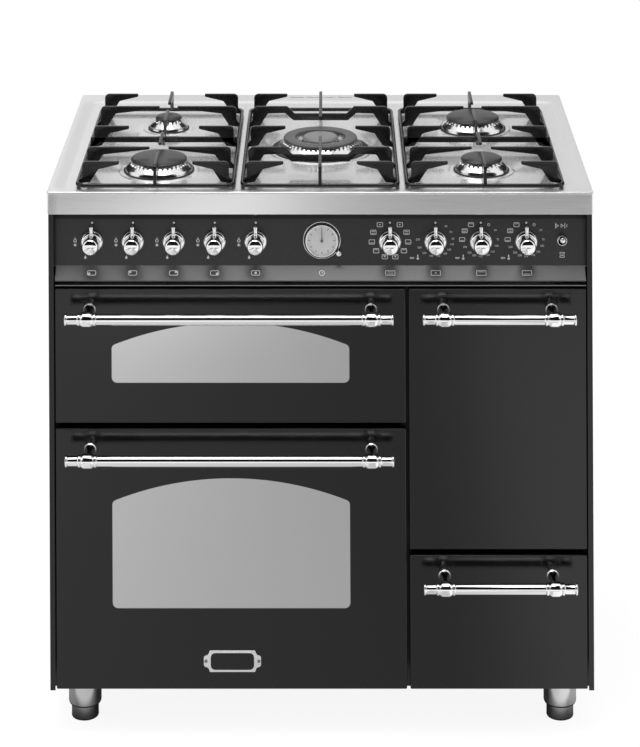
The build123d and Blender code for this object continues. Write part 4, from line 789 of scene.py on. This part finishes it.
down_l = [back(up_l_far, left_back), back(up_l_near, left_split)]
down_r_far, down_r_near = back(up_r_far, right_back), back(up_r_near, right_split)
borders = (
    [front_left, up_l_near, back(over_l, left_split), left_near, arcs[3]],
    [over_l, up_l_far, rear_left, arcs[2], left_far],
    [front_mid, up_r_near, up_r_far, rear_mid] + down_l,
    [over_r, right_far, arcs[1], rear_right, down_r_far],
    [front_right, arcs[0], right_near, back(over_r, end_right), down_r_near],
)
throats = [burner[:4] for burner in BURNERS]
throats.insert(2, (*WOK, WOK_R, 82))
print(len(borders), "cells with", sum(len(one) for border in borders for one in border), "border points")

# %% [markdown]
# Now the heights. In each cell the rows leave the level rise, slide down a soft slope and reach the flat
# well. A smooth S for the slope keeps the light from breaking at its ends.

# %% Cells of the well
WELL_Z, EDGE_Z, RISE, SLOPE = 897.0, 900.0, 1.5, 4.0


def smooth_step(t):
    """An S from 0 to 1 that starts and ends level: three t squared minus two t cubed."""
    t = np.clip(t, 0, 1)
    return t * t * (3 - 2 * t)


def well_cell(x, d, cap_r, base_r, border):
    """Rays from the burner's axis to the border: level rise, soft slope, then the flat well."""
    loop = np.vstack(border)
    ray = loop - (x, d)
    far = np.linalg.norm(ray, axis=1)
    foot = base_r + 12
    near = np.concatenate([[0.62 * cap_r, base_r + 3], np.linspace(foot - SLOPE, foot, 7)])
    height = WELL_Z + RISE * (1 - smooth_step((near - foot + SLOPE) / SLOPE))
    share = np.linspace(0, 1, 6)[1:]
    reach = np.vstack([near[:, None] + 0 * far[None, :], foot + share[:, None] * (far - foot)[None, :]])
    level = np.concatenate([height, np.full(len(share), WELL_Z)])[:, None] + 0 * reach
    flat = (x, d) + reach[:, :, None] * (ray / far[:, None])[None, :, :]
    points = np.dstack([flat[:, :, 0], FRONT + flat[:, :, 1], level]).reshape(-1, 3)
    return points, [grid_faces(len(reach), len(loop))[:, ::-1]]


well_cells = [well_cell(*throat, border) for throat, border in zip(throats, borders)]
print(sum(len(points) for points, faces in well_cells), "points in the well")

# %% [markdown]
# Round the well more rows climb the soft step, cross the flat edge, round it and fall down the apron. The
# first rows are the well's outline moved along its normals, and the next ones blend into the worktop's own
# outline. The vent slots are faces left out at the back. Thin rows beside them keep the shading crisp,
# because smooth shading would bend the light over a whole wide face.


# %% Edge and apron
def stretch(v, low, high, new_low, new_high, keep):
    """Move only the ends of a run outwards, so that the well's corners reach the worktop's corners."""
    left = np.clip((keep[0] - v) / (keep[0] - low), 0, 1) * (new_low - low)
    right = np.clip((v - keep[1]) / (high - keep[1]), 0, 1) * (new_high - high)
    return v + left + right


SHEET_W, SHEET_D, CORNER_R, EDGE_R, STEP = 900.0, 600.0, 3.0, 1.6, 22.0
HALF_W, HALF_D = SHEET_W / 2, SHEET_D / 2
sides = (
    ([front_left, front_mid, front_right], (0, -1)), ([right_near, right_far], (1, 0)),
    ([rear_right, rear_mid, rear_left], (0, 1)), ([left_far, left_near], (-1, 0)),
)
round_well, normals, on_arc = [], [], []
for (runs, out), arc, at in zip(sides, arcs, arc_centres):
    straight = np.vstack(runs)
    round_well += [straight, arc]
    normals += [np.tile(out, (len(straight), 1)), (arc - at) / WELL_R]
    on_arc += [False] * len(straight) + [True] * len(arc)
well_edge, normal, on_arc = np.vstack(round_well), np.vstack(normals), np.array(on_arc)
wide = stretch(well_edge[:, 0], -ARC_X, ARC_X, CORNER_R - HALF_W, HALF_W - CORNER_R, (-300, 300))
deep = stretch(well_edge[:, 1], ARC_FRONT, ARC_BACK, CORNER_R, SHEET_D - CORNER_R, (150, 450))
outline = np.stack([wide, deep], axis=1)
well_mid = (WELL_FRONT + WELL_BACK) / 2
corner_at = np.sign(well_edge - (0, well_mid)) * (HALF_W - CORNER_R, HALF_D - CORNER_R) + (0, HALF_D)
outline = np.where(on_arc[:, None], corner_at + normal * CORNER_R, outline)
square = (np.abs(normal) > 0.99) & ~on_arc[:, None]
outline = np.where(square, (0, HALF_D) + normal * (HALF_W, HALF_D), outline)
step = np.linspace(0, STEP, 9)
rear_lip = WELL_BACK + STEP
slot_rows = np.array([579.6, 580, 583, 583.4])
slot_sides = (slot_rows - rear_lip) / (SHEET_D - EDGE_R - rear_lip)
flat_share = np.concatenate([[0.28], slot_sides, [0.85]])
turn = np.linspace(0, pi / 2, 6)
climb = well_edge + normal * step[:, None, None]
lip = climb[-1]
inner_edge = outline - normal * EDGE_R
across = lip + flat_share[:, None, None] * (inner_edge - lip)
rounded = inner_edge + normal * (EDGE_R * np.sin(turn))[:, None, None]
apron_rows = [897.6, 880.0, 864.4, 863.7, 863.4]
flat = np.concatenate([climb, across, rounded, np.stack([outline] * len(apron_rows))])
level = np.concatenate([
    WELL_Z + (EDGE_Z - WELL_Z) * smooth_step(step / STEP), np.full(len(flat_share), EDGE_Z),
    EDGE_Z - EDGE_R * (1 - np.cos(turn)), apron_rows,
])
height = np.broadcast_to(level[:, None], flat.shape[:2])
points = np.dstack([flat[:, :, 0], FRONT + flat[:, :, 1], height]).reshape(-1, 3)
faces = grid_faces(len(flat), len(well_edge))[:, ::-1]
centre = points[faces].mean(axis=1)
off_middle = np.abs(centre[:, 0])
in_row = np.abs(centre[:, 1] - FRONT - slot_rows.mean()) < 1.6
in_slot = in_row & ((np.abs(off_middle - 45) < 13) | (off_middle < 27))
rim = (points, [faces[~in_slot]])
print("vent slots cut from", int(in_slot.sum()), "faces")

# %% [markdown]
# Edge and cells join to one sheet, and their shared points are merged. It is only a skin so far: Solidify
# gives it the thickness of real pressed steel, inwards, so that the outer size stays.

# %% Pressed sheet
worktop = add_piece(
    "pressed_worktop", [rim] + well_cells, "cabinet", "worktop_steel", ["worktop"], sharp=60,
)
sheet = worktop.modifiers.new("sheet", "SOLIDIFY")
sheet.thickness = 1.5 * MM
sheet.offset = -1.0

# %% [markdown]
# Each pan support is a bent rod with flat blades welded on it. A blade is cut from plate, so its outline is
# carried through its thickness, drawing in along a quarter circle near both faces. A Bevel would do this
# too, but here the outline itself is moved inwards, so the same helper later draws lines of even width.


# %% Blades
def mitres(p):
    """For each corner of an anticlockwise outline, the step inwards that keeps both its edges parallel."""
    ahead = np.roll(p, -1, axis=0) - p
    ahead /= np.linalg.norm(ahead, axis=1, keepdims=True)
    out_normal = np.stack([-ahead[:, 1], ahead[:, 0]], axis=1)
    in_normal = np.roll(out_normal, 1, axis=0)
    return (in_normal + out_normal) / (1 + np.sum(in_normal * out_normal, axis=1, keepdims=True))


def plate(outline, thick, edge=1.0):
    """Levels through the thickness; near each face the outline is moved inwards along its mitred corners."""
    p = anticlockwise(outline)
    mitre = mitres(p)
    a = np.linspace(0, pi / 2, 4)
    draw = np.concatenate([edge * (1 - np.sin(a)), edge * (1 - np.cos(a))])
    half = thick / 2
    level = np.concatenate([-half + edge * (1 - np.cos(a)), half - edge * (1 - np.sin(a))])
    flat = p[None, :, :] + draw[:, None, None] * mitre[None, :, :]
    points = np.dstack([flat, np.broadcast_to(level[:, None], flat.shape[:2])]).reshape(-1, 3)
    count = len(p)
    top = np.arange(count)[None, :] + (len(draw) - 1) * count
    return points, [grid_faces(len(draw), count), top, np.arange(count)[None, ::-1]]


def blade(outline):
    """A plate of 5.5 mm whose outline's corners are rounded."""
    return plate(soften(outline, 1.8, closed=True), 5.5)


def blade_across(outline, x, depth):
    """A blade facing the front: outline in width and height, thickness along the depth."""
    return face_front(blade(outline), x, depth, 0)


def blade_along(outline, x):
    """A blade facing the side: outline in depth and height, thickness along the width."""
    return lie_across(blade(outline), x, 0, 0)


# %% [markdown]
# The rod is a small circle carried along a rounded rectangle, and it stands on four short pegs.

# %% Rod and pegs
ROD_Z, ROD_R, BEND_R, LOOP_X, LOOP_D, PEG_D, MID = 903.5, 3.4, 14.0, 129.0, 230.5, 200.5, 254.5


def rod_loop(x):
    """A small circle carried round a rectangle with rounded corners."""
    a = np.linspace(0, pi / 2, 7)
    corner = BEND_R * np.stack([np.cos(a), np.sin(a)], axis=1)
    spin = [np.array([[np.cos(q), np.sin(q)], [-np.sin(q), np.cos(q)]]) for q in np.arange(4) * pi / 2]
    centres = np.array([(1, 1), (-1, 1), (-1, -1), (1, -1)]) * (LOOP_X - BEND_R, LOOP_D - BEND_R)
    path = np.vstack([corner @ s + c for s, c in zip(spin, centres)])
    side = np.vstack([corner @ s / BEND_R for s in spin])
    b = np.linspace(0, 2 * pi, 16, endpoint=False)
    flat = path[:, None, :] + ROD_R * np.cos(b)[None, :, None] * side[:, None, :]
    lift = np.broadcast_to(ROD_Z + ROD_R * np.sin(b), flat.shape[:2])
    points = np.dstack([flat, lift]).reshape(-1, 3)
    return points + (x, FRONT + MID, 0), [grid_faces(len(path), len(b), closed_rows=True)]


def loop_and_feet(x):
    """The rod and the four pegs that carry it."""
    foot = turned([(0, WELL_Z), (3.2, WELL_Z), (3.2, ROD_Z), (0, ROD_Z)], 16)
    feet = [stand(foot, x + sx * LOOP_X, MID + sd * PEG_D, 0) for sx in (-1, 1) for sd in (-1, 1)]
    return [rod_loop(x)] + feet


# %% [markdown]
# Most blades of a support are fingers that point inwards, so one outline serves for them, with its length
# and foot changed. A mirrored pair faces each other across the support.

# %% Fingers
TOP, BLADE_HALF, TOE, END_D = 938.0, 122.0, 7.0, 233.5


def finger(length, sag, foot):
    """A finger's outline from its outer edge inwards; its foot is one corner, or a toe to the rod."""
    return np.array(foot + [
        (0, TOP - 6), (2, TOP - 2), (6, TOP), (length, TOP), (length, TOP - sag), (27, TOP - 13), (13, ROD_Z),
    ])


def finger_pair(x, row, length, sag):
    """Two fingers that face each other across the support."""
    one = finger(length, sag, [(-TOE, ROD_Z - 2.5), (-TOE, ROD_Z + 2.5), (0, ROD_Z + 9)])
    return [blade_across(one * (side, 1) - (side * BLADE_HALF, 0), x, MID + row) for side in (1, -1)]


def end_pair(x, length):
    """Two fingers that face each other from the front and the back."""
    one = finger(length, 5, [(0, ROD_Z)])
    return [blade_along(one * (side, 1) + (MID - side * END_D, 0), x) for side in (1, -1)]


# %% [markdown]
# The two outer supports stand over two burners each, with a low cross bar between them. The middle one
# differs: two bars run right across it, with a dip for a round pan.

# %% Pan supports
ROW_OUTER, ROW_INNER = 210.0, 126.5


def outer_support(x):
    """A support over two burners: fingers round both, and a low cross bar between them."""
    parts = loop_and_feet(x) + end_pair(x, END_D - ROW_INNER - 26)
    for row in (-ROW_OUTER, 0, ROW_OUTER):
        parts += finger_pair(x, row, 61, 5)
    for row in (-ROW_INNER, ROW_INNER):
        parts += finger_pair(x, row, 106, 4)
    right = np.array([(128, TOP - 19), (128, ROD_Z), (120, ROD_Z), (112, TOP - 28.5)])
    parts.append(blade_across(np.vstack([right, right[::-1] * (-1, 1)]), x, MID))
    near = np.array([
        (0, TOP - 30), (0, TOP - 19), (36, TOP), (104, TOP), (104, TOP - 4), (44, TOP - 12), (16, TOP - 30),
    ])
    return parts + [blade_along(near * (side, 1) + (MID, 0), x) for side in (-1, 1)]


def dipped_bar(row):
    """Half of the bar's outline and its mirror image."""
    right = np.array([
        (47, TOP - 13), (60, TOP), (BLADE_HALF - 6, TOP), (BLADE_HALF, TOP - 6), (BLADE_HALF, ROD_Z + 9),
        (BLADE_HALF + TOE, ROD_Z + 2.5), (BLADE_HALF + TOE, ROD_Z - 2.5), (BLADE_HALF - 13, ROD_Z),
        (BLADE_HALF - 27, TOP - 13), (64, TOP - 12), (49, TOP - 25),
    ])
    return blade_across(np.vstack([right, right[::-1] * (-1, 1)]), 0, MID + row)


def middle_support():
    """The support over the wide burner."""
    parts = loop_and_feet(0) + end_pair(0, END_D - 60)
    for row in (-ROW_OUTER, 0, ROW_OUTER):
        parts += finger_pair(0, row, 61, 5)
    return parts + [dipped_bar(-ROW_INNER), dipped_bar(ROW_INNER)]


SUPPORT_X = 273.5
supports = {"left": outer_support(-SUPPORT_X), "centre": middle_support(), "right": outer_support(SUPPORT_X)}
for side, parts in supports.items():
    node = "pan_support_" + side
    add_piece("welded_support_" + side, parts, node, "support_enamel", [node])

# %% [markdown]
# Through the vent slots one looks into a black trough that leads the ovens' steam out. Its cross section is a
# U, carried along the width. A small black card of painted shade in each slot hides the bright cut edge of
# the sheet.

# %% Vent trough
trough_section = [
    (574, 898.2), (574, 886), (589, 886), (589, 898.2), (588, 898.2), (588, 887), (575, 887), (575, 898.2),
]
trough = lie_across(plate(trough_section, 124, 0.3), 0, 0, 0)
# The flaps are small black cards of painted shade, one in each slot.
shade_card = np.array([(-0.5, -1.4), (0.5, -1.4), (0.5, 1.4), (-0.5, 1.4)])
shade_cards = [
    face_front(plate(shade_card * (wide, 1), 0.4, 0.1), x, 582.7, 898.55)
    for x, wide in ((-45, 25), (0, 53), (45, 25))
]
add_piece("vent_trough", [trough] + shade_cards, "cabinet", "frame_paint")

# %% [markdown]
# The legs are turned steel: a fixed sleeve, and a levelling foot that screws into it. A black ring of painted
# shade marks the gap between the two, and another keeps the steel off the floor.

# %% Legs
sleeve = ring([(24.75, 25), (27.25, 25), (27.25, 75), (24.75, 75)], 1.2)
foot = turned(soften([(0, 0), (21.5, 0), (22.5, 2), (22.5, 24.4), (0, 24.4)], 1.2), 64)
# The upper ring is painted shade for the gap under the sleeve.
gap_shade_ring = ring([(22.6, 23.1), (26.2, 23.1), (27, 24.9), (22.6, 24.9)], 0.3)
lower_ring = ring([(20, 0), (22.2, 0), (22.8, 1.8), (20, 1.8)], 0.3)


def at_each_leg(*shapes):
    """The same shapes under all four corners of the cabinet."""
    return [stand(one, x, d, 0) for x in (-398, 398) for d in (80, 520) for one in shapes]


add_piece("turned_sleeves", at_each_leg(sleeve), "cabinet", "leg_steel", ["leg_sleeves"])
add_piece("turned_feet", at_each_leg(foot), "cabinet", "leg_steel", ["levelling_feet"], "foot_steel")
add_piece("leg_rings", at_each_leg(gap_shade_ring, lower_ring), "cabinet", "seal_rubber")

# %% [markdown]
# The nameplate on the oven door is left bare: a silver sheet with an ear and a screw at each end, a raised
# border, and a dark enamelled field. All three are thin plates, so the plate() of the pan supports makes them
# as well. Only half of the sheet's outline is written down: the other half is the same, turned half round.


# %% Bare nameplate
def rounded_box(w, h, r):
    """Outline of a box with softened corners, walked about its middle."""
    corners = np.array([(-0.5, -0.5), (0.5, -0.5), (0.5, 0.5), (-0.5, 0.5)]) * (w, h)
    return soften(corners, r, steps=5, closed=True)


PLATE_X, PLATE_Z = -148.0, 123.7
right_end = np.array([
    (37.4, 17.8), (38.8, 13), (41.4, 10), (45, 9.4), (47.2, 6.6),
    (47.2, -6.6), (45, -9.4), (41.4, -10), (38.8, -13), (37.4, -17.8),
])
eared = soften(np.vstack([right_end, -right_end]), 1.2, closed=True)
silver = face_front(plate(eared, 1.3, 0.3), PLATE_X, 9.3, PLATE_Z)
add_piece("nameplate_sheet", [silver], "main_door", "plate_metal", ["nameplate"])
border = face_front(plate(rounded_box(75.4, 31.4, 9.5), 0.8, 0.3), PLATE_X, 8.4, PLATE_Z)
add_piece("nameplate_border", [border], "main_door", "plate_metal")
field = face_front(plate(rounded_box(71.6, 27.8, 8.5), 0.8, 0.3), PLATE_X, 8.1, PLATE_Z)
add_piece("nameplate_field", [field], "main_door", "plate_metal", look="plate_enamel")
screw = turned(soften([(0, -0.6), (2.7, -0.6), (2.7, 0.5), (1.7, 1.1), (0, 1.3)], 0.3), 24)
screws = [face_front(screw, PLATE_X + side * 43.6, 8.5, PLATE_Z) for side in (-1, 1)]
add_piece("nameplate_screws", screws, "main_door", "plate_metal", look="screw_steel")

# %% [markdown]
# The signs round the knobs are printed on the panel. They are general signs: flames, sparks, ovens and
# temperatures. A sign is flat, made of filled outlines as on the clock's dial and of thin bands between an
# outline and its own inset. Real shapes stay sharp in a close view, where a picture would blur.


# %% Sign shapes
def band(outline, line, u=0.0, v=0.0):
    """A drawn line: quads between an outline and the same outline moved inwards along its mitres."""
    outer = anticlockwise(outline)
    inner = outer + line * mitres(outer)
    return np.vstack([outer, inner]) + (u, v), [grid_faces(2, len(outer))]


def disc(r, sides=16):
    """A circle of radius r as a polygon."""
    a = np.linspace(0, 2 * pi, sides, endpoint=False)
    return np.stack([r * np.cos(a), r * np.sin(a)], axis=1)


def star(r, spikes=6):
    """A circle whose every second point is drawn in to 0.38 r."""
    a = np.linspace(0, 2 * pi, 2 * spikes, endpoint=False)
    reach = np.where(np.arange(2 * spikes) % 2, 0.38 * r, r)
    return np.stack([reach * np.sin(a), reach * np.cos(a)], axis=1)


def flame(h):
    """A pointed flame of height h about its middle."""
    return h * np.array([
        (0, -0.5), (0.22, -0.46), (0.31, -0.26), (0.22, 0.0), (0.1, 0.22), (0.03, 0.5), (-0.05, 0.22),
        (-0.22, -0.02), (-0.31, -0.28), (-0.22, -0.46),
    ])


# %% [markdown]
# Digits come from Blender's own font: a text object is made a mesh, its triangles are read, and the object
# goes again. The signs of the lower row lie on the slanted lip, so their height is split into up and back.


# %% Digits, and signs on the lip
def digits(text, size, u, v):
    """Digits from the font's curves, as flat triangles centred on (u, v)."""
    curve = bpy.data.curves.new("digits", "FONT")
    curve.body, curve.size, curve.resolution_u = text, size, 2
    curve.align_x, curve.align_y = "CENTER", "CENTER"
    holder = bpy.data.objects.new("digits", curve)
    mesh = bpy.data.meshes.new_from_object(holder)
    mesh.calc_loop_triangles()
    points = np.empty(len(mesh.vertices) * 3)
    corners = np.empty(len(mesh.loop_triangles) * 3, int)
    mesh.vertices.foreach_get("co", points)
    mesh.loop_triangles.foreach_get("vertices", corners)
    bpy.data.objects.remove(holder)
    bpy.data.meshes.remove(mesh)
    bpy.data.curves.remove(curve)
    return points.reshape(-1, 3)[:, :2] + (u, v), [corners.reshape(-1, 3)]


def on_lip(signs, x):
    """Flat signs onto the slanted lip, whose face runs from depth 28 at z 770 to depth 11 at z 751."""
    back_step, up_step = np.array((17, 19)) / np.hypot(17, 19)
    y, z = FRONT + 19.5 - 0.08 * up_step, 760.5 + 0.08 * back_step
    return [
        (np.column_stack([x + p[:, 0], y + back_step * p[:, 1], z + up_step * p[:, 1]]), faces)
        for p, faces in signs
    ]


# %% [markdown]
# Each gas knob shows the same four signs: off, large flame, spark and small flame. On the lip below, a dot
# in a small box tells which burner the knob feeds, and a dial stands under the clock.

# %% Signs of the gas knobs
signs = []
gas_signs = [
    blot(disc(1.9), 0.3, 30.8), band(flame(9.5), 1.2, -28, 3), blot(star(3.6), -28, -6),
    blot(flame(6.8), -11, -25.6),
]
which = ((-4.2, -1.4), (-4, 1.8), (4, 1.8), (4.2, -1.4), (0, 0))
for x, (u, v) in zip(GAS_X, which):
    signs += on_panel(gas_signs, x, KNOB_Z)
    signs += on_lip([band(rounded_box(15, 9, 3.4), 1.2), blot(disc(2.3), u, v)], x)
minute = blot([(-0.45, -0.4), (0.45, -0.4), (0.45, 3), (-0.45, 3)])
quarter = blot([(0, -0.45), (2.4, -0.45), (2.4, 0.45), (0, 0.45)])
signs += on_lip([band(disc(4.8, 28), 1.1), minute, quarter], CLOCK_X)
print(len(signs), "signs for the gas knobs and the clock")

# %% [markdown]
# The first oven knob chooses how the oven heats, so small ovens stand round it. The other three set heat, so
# numbers run round them. The places are listed, because a printer spaces such signs by eye.


# %% Signs of the oven knobs
def oven_box(w, h, inside, u=0.0, v=0.0):
    """A small oven: its box, and bars or a fan inside it."""
    bars = {
        "top": [blot(rounded_box(0.6 * w, 0.9, 0.2), u, v + 0.2 * h)],
        "foot": [blot(rounded_box(0.6 * w, 0.9, 0.2), u, v - 0.2 * h)],
        "fan": [blot(star(0.24 * h, 4), u, v)],
    }
    return [band(rounded_box(w, h, 1.6), 0.9, u, v)] + [one for key in inside for one in bars[key]]


top_dot = [blot(disc(1.8), 0, 30.8)]
around = ((16.5, 27.6), (27.5, 15), (30, -1), (23, -15.6), (8.6, -25.5))
kinds = (("fan",), ("top", "foot"), ("foot",), ("top",), ("top", "fan"))
function_signs = top_dot + [
    one for (u, v), kind in zip(around, kinds) for side in (-1, 1)
    for one in oven_box(10, 8, kind, side * u, v)
]
signs += on_panel(function_signs, OVEN_X[0], KNOB_Z)

dish = band(soften([(-4, 0.8), (-2.6, -2), (2.6, -2), (4, 0.8)], 1.2, closed=True), 0.8, -39, -27)
gauge = [blot(rounded_box(1.7, 6.4, 0.8), -29.4, -25.2), blot(disc(2.1), -29.4, -28.4)]
main_places = (
    (17.5, 25), (25.5, 15.3), (29, 4), (27, -5), (22.4, -13.8), (15.6, -20.5), (4.3, -24.5), (-7.4, -24.5),
    (-18.4, -19.3), (-26.4, -10.4), (-29, 3),
)
small_places = (
    (24, 18.5), (28, 3), (25.8, -7.5), (19.5, -17.3), (11, -22.8), (-0.8, -25), (-11, -23.3),
    (-18.8, -18.7), (-26.4, -9.5),
)
main_signs = top_dot + gauge + [dish]
main_signs += [digits(str(50 + 20 * n), 4.6, u, v) for n, (u, v) in enumerate(main_places)]
signs += on_panel(main_signs, OVEN_X[1], KNOB_Z)
small_signs = top_dot + gauge + [dish, band(disc(2.4), 0.8, 13, 27.6)]
small_signs += oven_box(9.6, 7.4, ("top",), -16.3, 27.6) + oven_box(9.6, 7.4, ("top", "foot"), -26.7, 17.5)
small_signs += oven_box(9.6, 7.4, ("foot",), -31, 3)
small_signs += [digits(str(50 + 25 * n), 4.6, u, v) for n, (u, v) in enumerate(small_places)]
for x in OVEN_X[2:]:
    signs += on_panel(small_signs, x, KNOB_Z)
for x, inside in zip(OVEN_X, (("top", "foot"), ("fan",), ("top",), ("foot",))):
    signs += on_lip(oven_box(16.4, 9, inside), x)
print(len(signs), "signs with those of the oven knobs")

# %% [markdown]
# Two arrows above the toggle and two small bars below it finish the panel. All signs then become one piece.

# %% Signs of the toggle
points_right = np.array([(-2.6, -3.4), (2.6, 0), (-2.6, 3.4)])
toggle_signs = [
    band(points_right, 0.8, -7.5, 24), band(points_right, 0.8, 0.5, 24),
    blot(rounded_box(0.9, 9, 0.2), -10.8, 24), blot(rounded_box(0.9, 9, 0.2), 4.6, 24),
    blot(rounded_box(0.9, 5, 0.2), 8, 24),
    band(rounded_box(8.4, 3.6, 1.2), 0.8, 0, -21.6), band(rounded_box(8.4, 3.6, 1.2), 0.8, 0, -27),
]
signs += on_panel(toggle_signs, TOGGLE_X, TOGGLE_Z)
add_piece("panel_signs", signs, "cabinet", "panel_paint", look="sign_paint")
